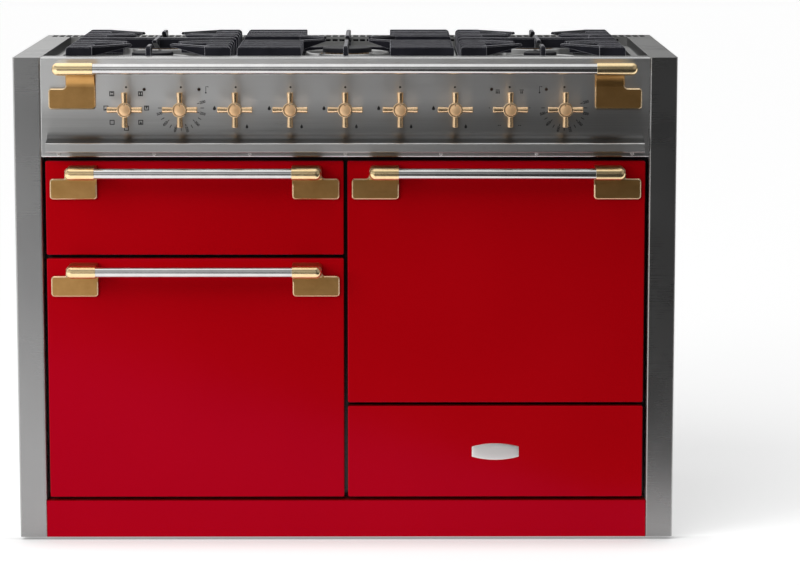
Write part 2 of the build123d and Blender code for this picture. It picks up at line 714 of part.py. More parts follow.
def bracket(plate_drop, neck_top, neck_round, neck, barrel):
    """Left-hand brass bracket: bevelled plate, neck and barrel. Its inner end is at X 0, its seat
    at Y 0 and the bar axis at Z 0."""
    plate_top = -plate_drop
    plate_low = plate_top - PLATE_HEIGHT
    shape = [
        (0, plate_low),
        (0, neck_top),
        (-NECK_WIDTH, neck_top),
        (-NECK_WIDTH, plate_top),
        (-PLATE_WIDTH, plate_top),
        (-PLATE_WIDTH, plate_low),
    ]
    rounds = [PLATE_ROUND, 0, neck_round, NECK_FILLET, PLATE_ROUND, PLATE_ROUND]
    plate = extrude(Plane.XZ * outline(shape, rounds), PLATE_THICKNESS)
    front_edges = plate.faces().sort_by(Axis.Y)[0].edges()
    plate = chamfer(front_edges.sort_by(Axis.Z)[:-1], PLATE_BEVEL)
    tip = rod((-barrel, -BAR_OUT, 0), (0, -BAR_OUT, 0), BARREL_RADIUS)
    tip = fillet(tip.edges().group_by(Axis.X)[0], BARREL_DOME)
    socket = rod((-SOCKET_DEPTH, -BAR_OUT, 0), (0, -BAR_OUT, 0), BAR_RADIUS + BAR_FIT)
    return plate.fuse(neck, tip) - socket


def level_neck():
    """Deep arm that runs straight out from a door's plate to the bar."""
    foot = -ARM_LOW - 2 * ARM_FILLET
    section = [
        (0, ARM_TOP),
        (-BAR_OUT, ARM_TOP),
        (-BAR_OUT, -ARM_LOW),
        (-PLATE_THICKNESS, -ARM_LOW),
        (-PLATE_THICKNESS, foot),
        (0, foot),
    ]
    arm = extrude(Plane.YZ * outline(section, [0, 0, 0, ARM_FILLET, 0, 0]), -NECK_WIDTH)
    shoulder = arm.edges().filter_by(Axis.Y).group_by(Axis.X)[0].sort_by(Axis.Z)[-1]
    return fillet(shoulder, ARM_ROUND)


def bent_neck():
    """Thick strip that rises from the handrail's plate and bends forward to the bar."""
    top = PLATE_THICKNESS / 2
    foot = -top - NECK_BEND - NECK_RUN
    section = [
        (0, foot),
        (0, top),
        (-BAR_OUT, top),
        (-BAR_OUT, -top),
        (-PLATE_THICKNESS, -top),
        (-PLATE_THICKNESS, foot),
    ]
    bends = [0, NECK_BEND + PLATE_THICKNESS, 0, 0, NECK_BEND, 0]
    strip = extrude(Plane.YZ * outline(section, bends), -NECK_WIDTH)
    inside = strip.faces().filter_by(GeomType.CYLINDER).sort_by(SortBy.AREA)[0]
    return chamfer(inside.edges().filter_by(GeomType.CIRCLE), PLATE_BEVEL)


def handle_parts(x, width, axis_z, left_bracket):
    """Bar and two brackets across a front: the left bracket is mirrored for the right."""
    inner = width / 2 - PLATE_INSET - PLATE_WIDTH
    left = Pos(x - inner, Y_FRONT, axis_z) * left_bracket
    right = Pos(x + inner, Y_FRONT, axis_z) * mirrored(left_bracket)
    end = inner + SOCKET_DEPTH - BAR_FIT
    y = Y_FRONT - BAR_OUT
    bar = rod((x - end, y, axis_z), (x + end, y, axis_z), BAR_RADIUS)
    return bar, left, right


def front_handle(x, front):
    """Handle of a door or a drawer front."""
    level = bracket(HANDLE_PLATE_DROP, ARM_TOP, ARM_ROUND, level_neck(), NECK_WIDTH)
    return list(handle_parts(x, FRONT_WIDTH, front[1] - HANDLE_DROP, level))


def handrail():
    """Rail across the control panel on two swan-necked brackets."""
    neck_top = NECK_FILLET + NECK_RUN - HANDRAIL_PLATE_DROP
    swan = bracket(HANDRAIL_PLATE_DROP, neck_top, 0, bent_neck(), RAIL_BARREL)
    return handle_parts(0, 2 * (X_IN - REVEAL), SIDE_TOP - HANDRAIL_DROP, swan)


# Knobs, taps, switches and gas pipes

def on_panel(shape, x):
    """Turns a shape built along Z to point out of the panel at a knob's place."""
    return Pos(x, Y_FRONT, KNOB_Z) * Rot(90, 0, 0) * shape


def knob():
    """Cross knob: hub with a raised rim and a domed face, four flared spokes, stem and spindle."""
    hub = Cylinder(HUB_RADIUS, HUB_FRONT - HUB_BACK, align=(Align.CENTER, Align.CENTER, Align.MIN))
    hub = Pos(0, 0, HUB_BACK) * fillet(hub.edges().group_by(Axis.Z)[-1], HUB_RIM / 2)
    floor = HUB_FRONT - HUB_RECESS
    face = HUB_RADIUS - HUB_RIM
    hub -= rod((0, 0, floor), (0, 0, HUB_FRONT), face)
    foot = face - HUB_GROOVE
    ball = (foot ** 2 + HUB_CROWN ** 2) / (2 * HUB_CROWN)
    dome = Pos(0, 0, floor + HUB_CROWN - ball) * Sphere(ball)
    hub += dome & rod((0, 0, floor - HUB_CROWN), (0, 0, HUB_FRONT + HUB_CROWN), foot)
    spoke = Cone(SPOKE_ROOT, SPOKE_TIP, SPOKE_REACH, align=(Align.CENTER, Align.CENTER, Align.MIN))
    spoke = fillet(spoke.edges().group_by(Axis.Z)[-1], SPOKE_ROUND)
    spoke = Pos(0, 0, (HUB_BACK + HUB_FRONT) / 2) * Rot(0, 90, 0) * spoke
    body = hub.fuse(*[Rot(0, 0, turn) * spoke for turn in (0, 90, 180, 270)])
    dimple_y = HUB_RADIUS - HUB_RIM - 2 * POINTER_RADIUS
    body -= rod((0, dimple_y, floor - HUB_RECESS), (0, dimple_y, HUB_FRONT), POINTER_RADIUS)
    stem = rod((0, 0, KNOB_STANDOFF), (0, 0, HUB_BACK), STEM_RADIUS)
    spindle = rod((0, 0, -SPINDLE_DEPTH), (0, 0, KNOB_STANDOFF), SPINDLE_RADIUS)
    return body.fuse(stem, spindle)


def tap_cone():
    """Turning plug of a gas tap, with the blind hole that the knob's spindle slides in."""
    cone = rod((0, 0, -CONE_BACK), (0, 0, -CONE_FRONT), CONE_RADIUS)
    bore = SPINDLE_RADIUS + RUN_FIT
    return cone - rod((0, 0, -CONE_BORE), (0, 0, -CONE_FRONT), bore)


def tap_body():
    """Tap body that saddles the gas rail, with the bore of its cone."""
    tap = block(around(0, TAP_HALF), around(0, TAP_HALF), (-RAIL_BACK, -TAP_FRONT))
    tap -= rod((-TAP_HALF, 0, -RAIL_BACK), (TAP_HALF, 0, -RAIL_BACK), RAIL_RADIUS + SEAT_GAP)
    return tap - rod((0, 0, -CONE_BACK - SEAT_GAP), (0, 0, -TAP_FRONT), CONE_RADIUS + RUN_FIT)


def oven_switches():
    """Switch and thermostat bodies behind the four oven knobs."""
    switch = block(around(0, SWITCH_HALF), around(0, SWITCH_HALF), (-SWITCH_BACK, -SHEET))
    bore = rod((0, 0, -SPINDLE_DEPTH - SEAT_GAP), (0, 0, -SHEET), SPINDLE_RADIUS + RUN_FIT)
    return [on_panel(switch - bore, KNOB_X[i]) for i in SWITCH_KNOBS]


def gas_pipework():
    """Gas rail with its rear inlet, the five taps, and a pipe from each tap to its burner."""
    supply_x = X_IN - RAIL_SIDE
    supply_y = Y_REAR - SUPPLY_REAR
    inlet_z = BASE_TOP + INLET_UP
    inlet_y = Y_REAR - INLET_REAR
    route = [
        (KNOB_X[GAS_KNOBS[0]] - RAIL_OVERHANG, Y_RAIL, KNOB_Z),
        (supply_x, Y_RAIL, KNOB_Z),
        (supply_x, supply_y, KNOB_Z),
        (supply_x, supply_y, inlet_z),
        (supply_x, inlet_y, inlet_z),
    ]
    nipple = rod((supply_x, inlet_y - INLET_LENGTH, inlet_z), (supply_x, inlet_y, inlet_z), INLET_RADIUS)
    pieces = [tube(route, RAIL_BEND, RAIL_RADIUS) + nipple]
    tap_y = Y_FRONT + (TAP_FRONT + CONE_BACK) / 2
    pipe_z = WELL_Z - PIPE_DROP
    for knob_index, ((x, y), _, _) in zip(GAS_KNOBS, BURNERS):
        start = KNOB_X[knob_index]
        pieces.append(on_panel(tap_body(), start))
        points = [(start, tap_y, KNOB_Z + TAP_HALF), (start, tap_y, pipe_z), (x, y, pipe_z)]
        points.append((x, y, WELL_Z - SHEET - CUP_DEPTH))
        pieces.append(tube(points, PIPE_BEND, PIPE_RADIUS))
    return pieces


# Ovens

def liner(x, half, z, depth):
    """Enamelled box, open to the front."""
    outer = block(around(x, half + SHEET), (Y_CAVITY, Y_CAVITY + depth + SHEET), (z[0] - SHEET, z[1] + SHEET))
    return outer - block(around(x, half), (Y_CAVITY, Y_CAVITY + depth), z)


def fan_axis(x, oven):
    """Middle of an oven's back wall."""
    return (x, Y_BACK, sum(oven) / 2)


def oven_liner(x, oven):
    """Oven box with the hole of the fan shaft in its back wall."""
    _, y, z = fan_axis(x, oven)
    return liner(x, OVEN_HALF, oven, OVEN_DEPTH) - rod((x, y, z), (x, y + SHEET, z), SHAFT_HOLE)


def oven_seal(x, oven):
    """Gasket that runs round an oven opening on the front frame."""
    def ring(margin):
        half = OVEN_HALF + margin
        height = oven[1] - oven[0] + 2 * margin
        return RectangleRounded(2 * half, height, margin + SEAL_WIDTH)
    section = ring(SEAL_INSET + SEAL_WIDTH) - ring(SEAL_INSET)
    face = Plane.XZ * section
    return Pos(x, Y_FRAME, sum(oven) / 2) * extrude(face, SEAL_GAP - SEAT_GAP)


def at_fan(shape, x, oven):
    """Turns a shape built along Z to point forward from the middle of the back wall."""
    return Pos(*fan_axis(x, oven)) * Rot(90, 0, 0) * shape


def fan():
    """Paddle fan on its shaft, which runs back into the motor."""
    wheel = [rod((0, 0, FAN_BACK), (0, 0, FAN_BACK + FAN_DEPTH), FAN_HUB)]
    wheel.append(rod((0, 0, FAN_BACK), (0, 0, FAN_BACK + FAN_BLADE), FAN_RADIUS))
    blade = block((FAN_HUB / 2, FAN_RADIUS), around(0, FAN_BLADE / 2), (FAN_BACK, FAN_BACK + FAN_DEPTH))
    wheel += [Rot(0, 0, 360 / FAN_BLADES * i) * blade for i in range(FAN_BLADES)]
    wheel.append(rod((0, 0, -SHEET - SHAFT_IN_MOTOR), (0, 0, FAN_BACK), SHAFT_RADIUS))
    return fused(wheel)


def fan_motor():
    """Motor can on a flange behind the oven, bored for the fan shaft."""
    plate = block(around(0, MOTOR_FLANGE / 2), around(0, MOTOR_FLANGE / 2), (-SHEET - MOTOR_PLATE, -SHEET))
    motor = plate + rod((0, 0, -SHEET - MOTOR_LENGTH), (0, 0, -SHEET), MOTOR_RADIUS)
    depth = SHAFT_IN_MOTOR + SEAT_GAP
    return motor - rod((0, 0, -SHEET - depth), (0, 0, -SHEET), SHAFT_RADIUS + RUN_FIT)


def fan_cover():
    """Shallow pan over the fan with a round field of slots."""
    half = (COVER_WIDTH / 2, COVER_HEIGHT / 2)
    cover = block(around(0, half[0]), around(0, half[1]), (0, COVER_DEPTH))
    cover -= block(around(0, half[0] - SHEET), around(0, half[1] - SHEET), (0, COVER_DEPTH - SHEET))
    cuts = []
    for i in range(COVER_SLOTS):
        aside = (i - (COVER_SLOTS - 1) / 2) * COVER_PITCH
        length = 2 * math.sqrt(max(FAN_RADIUS**2 - aside**2, COVER_SLOT**2))
        slot = extrude(SlotOverall(length, COVER_SLOT), COVER_DEPTH)
        cuts.append(Pos(0, aside, COVER_DEPTH / 2) * slot)
    return cover - cuts


def ring_element():
    """Round heating element about the fan, with two tails to the back wall."""
    ring = Pos(0, 0, RING_TAIL) * Torus(RING_ELEMENT, ELEMENT_RADIUS)
    tails = [rod((x, RING_ELEMENT, 0), (x, RING_ELEMENT, RING_TAIL), ELEMENT_RADIUS) for x in (-RING_TAIL, 0)]
    return fused([ring, *tails])


def roof_element(x, cavity):
    """Serpentine heating element below a roof, with both ends at the back wall."""
    z = cavity[1] - ELEMENT_DROP
    step = 2 * ELEMENT_HALF / 3
    runs = [x - ELEMENT_HALF + i * step for i in range(4)]
    front = Y_CAVITY + ELEMENT_FRONT
    short = Y_BACK - ELEMENT_SHORT
    route = [(runs[0], Y_BACK), (runs[0], front), (runs[1], front), (runs[1], short)]
    route += [(runs[2], short), (runs[2], front), (runs[3], front), (runs[3], Y_BACK)]
    return tube([(px, py, z) for px, py in route], ELEMENT_BEND, ELEMENT_RADIUS)


def rack(x, z):
    """Wire shelf: a bent rail all round, with cross wires welded into it."""
    half = OVEN_HALF - SEAT_GAP - 3 * WIRE - RACK_FIT
    front = Y_CAVITY + RACK_FRONT
    back = Y_BACK - COVER_DEPTH - RACK_REAR
    corners = [(x - half, front, z), (x + half, front, z), (x + half, back, z), (x - half, back, z)]
    wires = [tube(corners, RACK_BEND, WIRE, closed=True)]
    step = 2 * half / (RACK_WIRES + 1)
    for i in range(1, RACK_WIRES + 1):
        wire_x = x - half + i * step
        wires.append(rod((wire_x, front, z), (wire_x, back, z), CROSS_WIRE))
    return fused(wires)


def ladder(x, oven, side):
    """Wire rack support that hangs on a side wall of an oven."""
    post_x = x + side * (OVEN_HALF - SEAT_GAP - WIRE)
    rung_x = post_x - side * (2 * WIRE - WELD)
    y_posts = [Y_CAVITY + post for post in LADDER_POSTS]
    wires = [rod((post_x, y, oven[0] + LADDER_END), (post_x, y, oven[1] - LADDER_END), WIRE) for y in y_posts]
    for level in RACK_LEVELS:
        z = oven[0] + level
        wires.append(rod((rung_x, y_posts[0] - 2 * WIRE, z), (rung_x, y_posts[1] + 2 * WIRE, z), WIRE))
    return fused(wires)


def oven_racks():
    """Two racks and two rack ladders in each oven."""
    pieces = []
    for x, oven in OVENS:
        pieces += [ladder(x, oven, side) for side in (-1, 1)]
        pieces += [rack(x, oven[0] + level + 2 * WIRE + SEAT_GAP) for level in RACK_LEVELS]
    return pieces


# Doors and drawers

def hinge_places(x):
    """X of the two hinges of a door."""
    return around(x, FRONT_WIDTH / 2 - HINGE_SIDE)


def hinge_brackets():
    """Lugs with their pins, fixed to the front frame at the foot of each door."""
    pieces = []
    width, height, plate = HINGE_FLANGE
    for x_door, door in ((LEFT_X, LEFT_DOOR), (RIGHT_X, RIGHT_DOOR)):
        z = door[0] + HINGE_UP
        reach = LUG_WIDTH / 2 + LUG_CLEARANCE + EAR_WIDTH
        for x in hinge_places(x_door):
            lug = block(around(x, LUG_WIDTH / 2), (Y_HINGE, Y_FRAME), around(z, LUG_RADIUS))
            eye = rod((x - LUG_WIDTH / 2, Y_HINGE, z), (x + LUG_WIDTH / 2, Y_HINGE, z), LUG_RADIUS)
            pin = rod((x - reach, Y_HINGE, z), (x + reach, Y_HINGE, z), PIN_RADIUS)
            flange_z = (z + LUG_RADIUS - height, z + LUG_RADIUS)
            flange = block(around(x, width / 2), (Y_FRAME - plate, Y_FRAME), flange_z)
            pieces.append(fused([lug, eye, pin, flange]))
    return pieces


def front_skin(x, front):
    """Enamelled pan of a door or drawer front, with rounded edges and an open back."""
    skin = block(around(x, FRONT_WIDTH / 2), (Y_FRONT, Y_SKIN), front)
    skin = fillet(skin.edges().filter_by(Axis.Y), EDGE_ROUND)
    skin = fillet(skin.faces().sort_by(Axis.Y)[0].edges(), EDGE_ROUND - SHEET / 2)
    inner = (front[0] + SHEET, front[1] - SHEET)
    return skin - block(around(x, FRONT_WIDTH / 2 - SHEET), (Y_FRONT + SHEET, Y_SKIN), inner)


def lug_slot(x, low, high, depth):
    """Room that a hinge lug needs in the foot of a door."""
    return block(around(x, LUG_WIDTH / 2 + LUG_CLEARANCE / 2), depth, (low, high))


def door_skin(x, door):
    """Door skin with slots for the hinge lugs in its bottom wall."""
    skin = front_skin(x, door)
    depth = (Y_HINGE - LUG_RADIUS - LUG_CLEARANCE, Y_SKIN)
    for hinge_x in hinge_places(x):
        skin -= lug_slot(hinge_x, door[0], door[0] + SHEET, depth)
    return skin


def back_plate(x, front):
    """Plate that closes the back of a front's pan."""
    z = (front[0] + BACK_PLATE_INSET, front[1] - BACK_PLATE_INSET)
    return block(around(x, FRONT_WIDTH / 2 - BACK_PLATE_INSET), (Y_SKIN, Y_SKIN + SHEET), z)


def door_inner(x, door, oven):
    """Inner door: back plate, hollow plug facing the oven, and bored hinge ears."""
    half = OVEN_HALF + PLUG_LAP
    z = (oven[0] - PLUG_LAP, oven[1] + PLUG_LAP)
    inner = back_plate(x, door) + block(around(x, half), (Y_SKIN, Y_PLUG), z)
    inner -= block(around(x, half - SHEET), (Y_SKIN, Y_PLUG - SHEET), (z[0] + SHEET, z[1] - SHEET))
    axis_z = door[0] + HINGE_UP
    ear_radius = PIN_RADIUS + EAR_WALL
    for hinge_x in hinge_places(x):
        for side in (-1, 1):
            near = hinge_x + side * (LUG_WIDTH / 2 + LUG_CLEARANCE)
            far = near + side * EAR_WIDTH
            arm = block((near, far), (Y_HINGE, Y_SKIN), around(axis_z, ear_radius))
            inner = inner.fuse(arm, rod((near, Y_HINGE, axis_z), (far, Y_HINGE, axis_z), ear_radius))
            inner -= rod((near, Y_HINGE, axis_z), (far, Y_HINGE, axis_z), PIN_RADIUS + RUN_FIT)
        top = axis_z + LUG_RADIUS + LUG_CLEARANCE
        inner -= lug_slot(hinge_x, door[0], top, (Y_SKIN, Y_SKIN + SHEET))
    return inner


def runner(x, half, side, z):
    """Fixed channel on a side wall, open to the middle."""
    wall = x + side * half
    length = (Y_CAVITY + RUNNER_START, Y_CAVITY + RUNNER_START + RUNNER_LENGTH)
    channel = block((wall, wall - side * RUNNER_DEPTH), length, around(z, RUNNER_HEIGHT / 2))
    groove = (wall - side * SHEET, wall - side * RUNNER_DEPTH)
    return channel - block(groove, length, around(z, RUNNER_HEIGHT / 2 - SHEET))


def slide_rail(x, half, side, z):
    """Rail that slides in a fixed channel, carried by the back plate of its front."""
    wall = x + side * half
    width = (wall - side * (SHEET + SEAT_GAP), wall - side * (RUNNER_DEPTH + RAIL_PROUD))
    length = (Y_SKIN + SHEET, Y_CAVITY + RUNNER_START + RUNNER_LENGTH)
    return block(width, length, around(z, RUNNER_HEIGHT / 2 - SHEET - SEAT_GAP))


def drawer_runners():
    """Fixed channels of the broiler and of the storage drawer."""
    rows = [(LEFT_X, OVEN_HALF, BROILER[0] + BROILER_RUNNER_UP)]
    rows.append((RIGHT_X, HOUSING_HALF, HOUSING[0] + DRAWER_RUNNER_UP))
    return [runner(x, half, side, z) for x, half, z in rows for side in (-1, 1)]


def ledge_top():
    """Height of the ledge that carries the broiler pan."""
    rail_half = RUNNER_HEIGHT / 2 - SHEET - SEAT_GAP
    return BROILER[0] + BROILER_RUNNER_UP - rail_half + LEDGE_SHEET


def ledge_half():
    """Half the clear width between the ledges of the broiler carriage."""
    return OVEN_HALF - RUNNER_DEPTH - RAIL_PROUD - LEDGE


def broiler_carriage():
    """Sliding frame of the broiler: back plate, two rails with ledges and a rear rod."""
    z = BROILER[0] + BROILER_RUNNER_UP
    pieces = [back_plate(LEFT_X, BROILER_FRONT)]
    end = Y_CAVITY + RUNNER_START + RUNNER_LENGTH
    top = ledge_top()
    for side in (-1, 1):
        pieces.append(slide_rail(LEFT_X, OVEN_HALF, side, z))
        near = LEFT_X + side * ledge_half()
        ledge_x = (near, near + side * (LEDGE + RAIL_PROUD))
        pieces.append(block(ledge_x, (Y_SKIN + SHEET, end), (top - LEDGE_SHEET, top)))
    rod_y = end - CARRIAGE_ROD
    span = OVEN_HALF - RUNNER_DEPTH
    pieces.append(rod((LEFT_X - span, rod_y, z), (LEFT_X + span, rod_y, z), CARRIAGE_ROD))
    return fused(pieces)


def broiler_pan():
    """Rimmed pan that hangs between the ledges, and the wire grid that lies on its rim."""
    half = ledge_half() - PAN_FIT
    y = (Y_CAVITY + PAN_START, Y_CAVITY + PAN_START + PAN_LENGTH)
    top = ledge_top()
    pan = block(around(LEFT_X, half), y, (top - PAN_DEPTH, top + SHEET))
    rim_y = (y[0] - PAN_FIT, y[1] + PAN_FIT)
    pan += block(around(LEFT_X, half + PAN_RIM), rim_y, (top, top + SHEET))
    inner_y = (y[0] + SHEET, y[1] - SHEET)
    pan -= block(around(LEFT_X, half - SHEET), inner_y, (top - PAN_DEPTH + SHEET, top + SHEET))
    z = top + SHEET + WIRE
    ends = (y[0] + PAN_FIT, y[1] - PAN_FIT)
    bars = [rod((LEFT_X - half, end, z), (LEFT_X + half, end, z), WIRE) for end in ends]
    step = 2 * half / (GRID_WIRES + 1)
    for i in range(1, GRID_WIRES + 1):
        wire_x = LEFT_X - half + i * step
        bars.append(rod((wire_x, ends[0], z), (wire_x, ends[1], z), CROSS_WIRE))
    return [pan, fused(bars)]


def drawer_box():
    """Storage drawer: back plate, open box and the rails on its sides."""
    half = HOUSING_HALF - RUNNER_DEPTH - RAIL_PROUD
    y = (Y_SKIN + SHEET, Y_CAVITY + DRAWER_LENGTH)
    z = (HOUSING[0] + DRAWER_FLOOR_UP, HOUSING[0] + DRAWER_FLOOR_UP + DRAWER_WALL)
    pieces = [back_plate(RIGHT_X, DRAWER_FRONT), block(around(RIGHT_X, half), y, z)]
    rail_z = HOUSING[0] + DRAWER_RUNNER_UP
    pieces += [slide_rail(RIGHT_X, HOUSING_HALF, side, rail_z) for side in (-1, 1)]
    inner_y = (y[0] + SHEET, y[1] - SHEET)
    return fused(pieces) - block(around(RIGHT_X, half - SHEET), inner_y, (z[0] + SHEET, z[1]))


# Openings in the front frame: middle, half width and height span
CAVITIES = {
    "left_oven": (LEFT_X, OVEN_HALF, LEFT_OVEN),
    "right_oven": (RIGHT_X, OVEN_HALF, RIGHT_OVEN),
    "broiler": (LEFT_X, OVEN_HALF, BROILER),
    "drawer": (RIGHT_X, HOUSING_HALF, HOUSING),
}
OVENS = [(LEFT_X, LEFT_OVEN), (RIGHT_X, RIGHT_OVEN)]


def heating_elements():
    """Roof elements of the broiler and the left oven, and a ring element in each oven."""
    roofs = [roof_element(LEFT_X, cavity) for cavity in (BROILER, LEFT_OVEN)]
    return roofs + [at_fan(ring_element(), x, oven) for x, oven in OVENS]


def nodes():
    """Every sub-part by name, as a shape or a list of separate shapes."""
    rail_bar, rail_left, rail_right = handrail()
    parts = {
        "chassis": chassis(),
        "side_panel_left": mirrored(side_panel_right()),
        "side_panel_right": side_panel_right(),
        "rear_panel": rear_panel(),
        "front_frame": front_frame(),
        "kick_panel": kick_panel(),
        "levelling_feet": levelling_feet(),
        "terminal_box": terminal_box(),
        "hob_top": hob_top(),
        "rear_vent_trim": rear_vent_trim(),
        "burner_heads": burner_heads(),
        "burner_caps": burner_caps(),
        "grate_left": Pos(-SIDE_GRATE_X, 0, 0) * side_grate(),
        "grate_centre": centre_grate(),
        "grate_right": Pos(SIDE_GRATE_X, 0, 0) * side_grate(),
        "control_panel": control_panel(),
        "indicator_lamps": indicator_lamps(),
        "handrail_bar": rail_bar,
        "handrail_brackets": [rail_left, rail_right],
        "gas_pipework": gas_pipework(),
        "oven_switches": oven_switches(),
        "left_oven_liner": oven_liner(LEFT_X, LEFT_OVEN),
        "right_oven_liner": oven_liner(RIGHT_X, RIGHT_OVEN),
        "broiler_liner": liner(LEFT_X, OVEN_HALF, BROILER, OVEN_DEPTH),
        "drawer_housing": liner(RIGHT_X, HOUSING_HALF, HOUSING, HOUSING_DEPTH),
        "heating_elements": heating_elements(),
        "fan_covers": [at_fan(fan_cover(), x, oven) for x, oven in OVENS],
        "fan_motors": [at_fan(fan_motor(), x, oven) for x, oven in OVENS],
        "oven_racks": oven_racks(),
        "oven_seals": [oven_seal(x, oven) for x, oven in OVENS],
        "hinge_brackets": hinge_brackets(),
        "drawer_runners": drawer_runners(),
        "left_fan": at_fan(fan(), LEFT_X, LEFT_OVEN),
        "right_fan": at_fan(fan(), RIGHT_X, RIGHT_OVEN),
        "broiler_front": front_skin(LEFT_X, BROILER_FRONT),
        "broiler_carriage": broiler_carriage(),
        "broiler_pan": broiler_pan(),
        "broiler_handle": front_handle(LEFT_X, BROILER_FRONT),
        "left_door_skin": door_skin(LEFT_X, LEFT_DOOR),
        "left_door_inner": door_inner(LEFT_X, LEFT_DOOR, LEFT_OVEN),
        "left_door_handle": front_handle(LEFT_X, LEFT_DOOR),
        "right_door_skin": door_skin(RIGHT_X, RIGHT_DOOR),
        "right_door_inner": door_inner(RIGHT_X, RIGHT_DOOR, RIGHT_OVEN),
        "right_door_handle": front_handle(RIGHT_X, RIGHT_DOOR),
        "drawer_front": front_skin(RIGHT_X, DRAWER_FRONT),
        "drawer_box": drawer_box(),
    }
    for i, x in enumerate(KNOB_X):
        parts[f"knob_{i + 1}"] = on_panel(knob(), x)
    for i in GAS_KNOBS:
        parts[f"tap_cone_{i + 1}"] = on_panel(tap_cone(), KNOB_X[i])
    return parts


def main():
    """Writes one file for each sub-part."""
    os.makedirs("parts", exist_ok=True)
    for name, shape in nodes().items():
        solids = shape if isinstance(shape, list) else [shape]
        flat = [solid for piece in solids for solid in piece.solids()]
        export_step(flat[0] if len(flat) == 1 else Compound(children=flat), f"parts/{name}.step")


main()
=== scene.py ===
import bmesh
import bpy
import math
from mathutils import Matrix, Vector

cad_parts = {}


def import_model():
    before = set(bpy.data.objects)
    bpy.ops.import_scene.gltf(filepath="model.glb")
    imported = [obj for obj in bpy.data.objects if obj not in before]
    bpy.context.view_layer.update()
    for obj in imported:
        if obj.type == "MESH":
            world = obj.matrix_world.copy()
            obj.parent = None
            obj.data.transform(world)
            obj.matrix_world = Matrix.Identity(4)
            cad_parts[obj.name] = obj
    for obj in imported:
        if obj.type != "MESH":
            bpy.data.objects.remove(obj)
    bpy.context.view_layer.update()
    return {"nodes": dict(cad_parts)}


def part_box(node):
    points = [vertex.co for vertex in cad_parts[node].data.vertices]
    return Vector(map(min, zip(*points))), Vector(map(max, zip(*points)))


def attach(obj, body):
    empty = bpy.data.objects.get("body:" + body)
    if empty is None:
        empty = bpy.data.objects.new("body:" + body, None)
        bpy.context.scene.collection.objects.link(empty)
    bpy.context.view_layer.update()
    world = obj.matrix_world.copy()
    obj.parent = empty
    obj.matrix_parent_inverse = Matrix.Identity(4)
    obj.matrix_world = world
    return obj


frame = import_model()

# Range cooker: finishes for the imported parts, printed dials, screws, pressed lands, a blank badge
# plate, a pale floor and a soft studio. Metres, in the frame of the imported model.

MM = 0.001

# Directions of grain
ALONG_X = (1, 0, 0)
ALONG_Y = (0, 1, 0)
ALONG_Z = (0, 0, 1)

# Camera, from the photograph's perspective on an 800 x 585 picture
IMAGE_WIDTH = 800
SENSOR = 36.0
FOCAL_PIXELS = 3193.5
CAMERA_PLACE = Vector((0.0736, -6.105, 1.317))
CAMERA_TARGET = Vector((0.0998, -0.285, 0.4653))
CAMERA_SIGHT = 100

# Places read from the frame
Y_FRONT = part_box("side_panel_left")[0].y
PANEL_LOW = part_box("control_panel")[0].z
BADGE_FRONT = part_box("drawer_front")

# Knobs, by the number of their node
KNOBS = range(1, 10)
TAPS = range(3, 8)
SELECTOR_KNOB = 1
BROILER_KNOB = 8
THERMOSTAT_KNOBS = {2: 1, 9: -1}     # with the side of the thermometer sign

# Printed marks on the control panel. Angles are clockwise from the top.
INK_PROUD = 0.06 * MM
INK_STEP = 0.5            # share of the ink's thickness that sits in the surface
OFF_DOT_UP = 38 * MM
OFF_DOT = 2.0 * MM
DISC_SIDES = 14

# Oven signs: by their angle, whether they have an upper line, a lower line and a fan cross
FUNCTION_SIGNS = {
    -45: (True, True, False),
    -90: (False, True, False),
    -135: (False, False, False),
    45: (True, True, True),
    90: (True, False, True),
    135: (False, True, True),
    180: (True, False, False),
}
ICON_RADIUS = 37 * MM
ICON_SIZE = 7.4 * MM
ICON_LINE = 1.5 * MM
ICON_REACH = 0.28 * ICON_SIZE        # half length of its lines, and their distance from the middle
ICON_ARM = 0.16 * ICON_SIZE
ICON_ARM_TURNS = (45, 135)

# Broiler signs: combs with a number of teeth, and dots for the lower steps, by their angle
COMBS = {37: 2, -37: 3}
COMB_RADIUS = 0.98 * ICON_RADIUS
TOOTH_PITCH = 0.36 * ICON_SIZE
TOOTH_SPAN = (2.0 * MM, 6.5 * MM)    # below the comb's back
TOOTH_WIDTH = 1.2 * ICON_LINE
STEP_DOTS = {90: 1, 150: 2, -150: 2, -90: 1}
STEP_DOT = 1.0 * MM
STEP_DOT_PITCH = 3.2 * MM

# Burner flames, by their angle: width and height
FLAME_RADIUS = 39 * MM
FLAMES = {-90: (5.4 * MM, 8.4 * MM), 149: (4.6 * MM, 8.2 * MM)}
FLAME_POINTS = 18
FLAME_POWER = 1.5         # draws out the point of the teardrop
FLAME_SCALE = 0.77        # brings the widest place of that curve to half the width

# Thermostat ticks and numbers
TICK_START = 75.0
TICK_STEP = 15.0
TICK_COUNT = 14
TICK_SPAN = (35.5 * MM, 42.0 * MM)
TICK_WIDTH = 1.3 * MM
NUMBER_TICK = (30.5 * MM, 35.0 * MM)
NUMBER_RADIUS = 40.8 * MM
NUMBER_FONT = 7.0 * MM
NUMBER_BOLD = 0.22 * MM
FIRST_NUMBER = 200
NUMBER_STEP = 50

# Thermometer sign
GLYPH_ASIDE = 45.5 * MM
GLYPH_UP = 33.5 * MM
STEM_FOOT = -5.0 * MM
STEM_TOP = 6.0 * MM
STEM_WIDTH = 1.0 * MM
BULB_UP = -5.5 * MM
BULB_RADIUS = 1.5 * MM
DEGREE_LINE_UP = 5.5 * MM
DEGREE_LINE_LENGTH = 3.4 * MM
DEGREE_LINE_WIDTH = 0.8 * MM
DEGREE_ASIDE = 4.0 * MM
DEGREE_UP = 5.2 * MM
DEGREE_RADIUS = 0.9 * MM

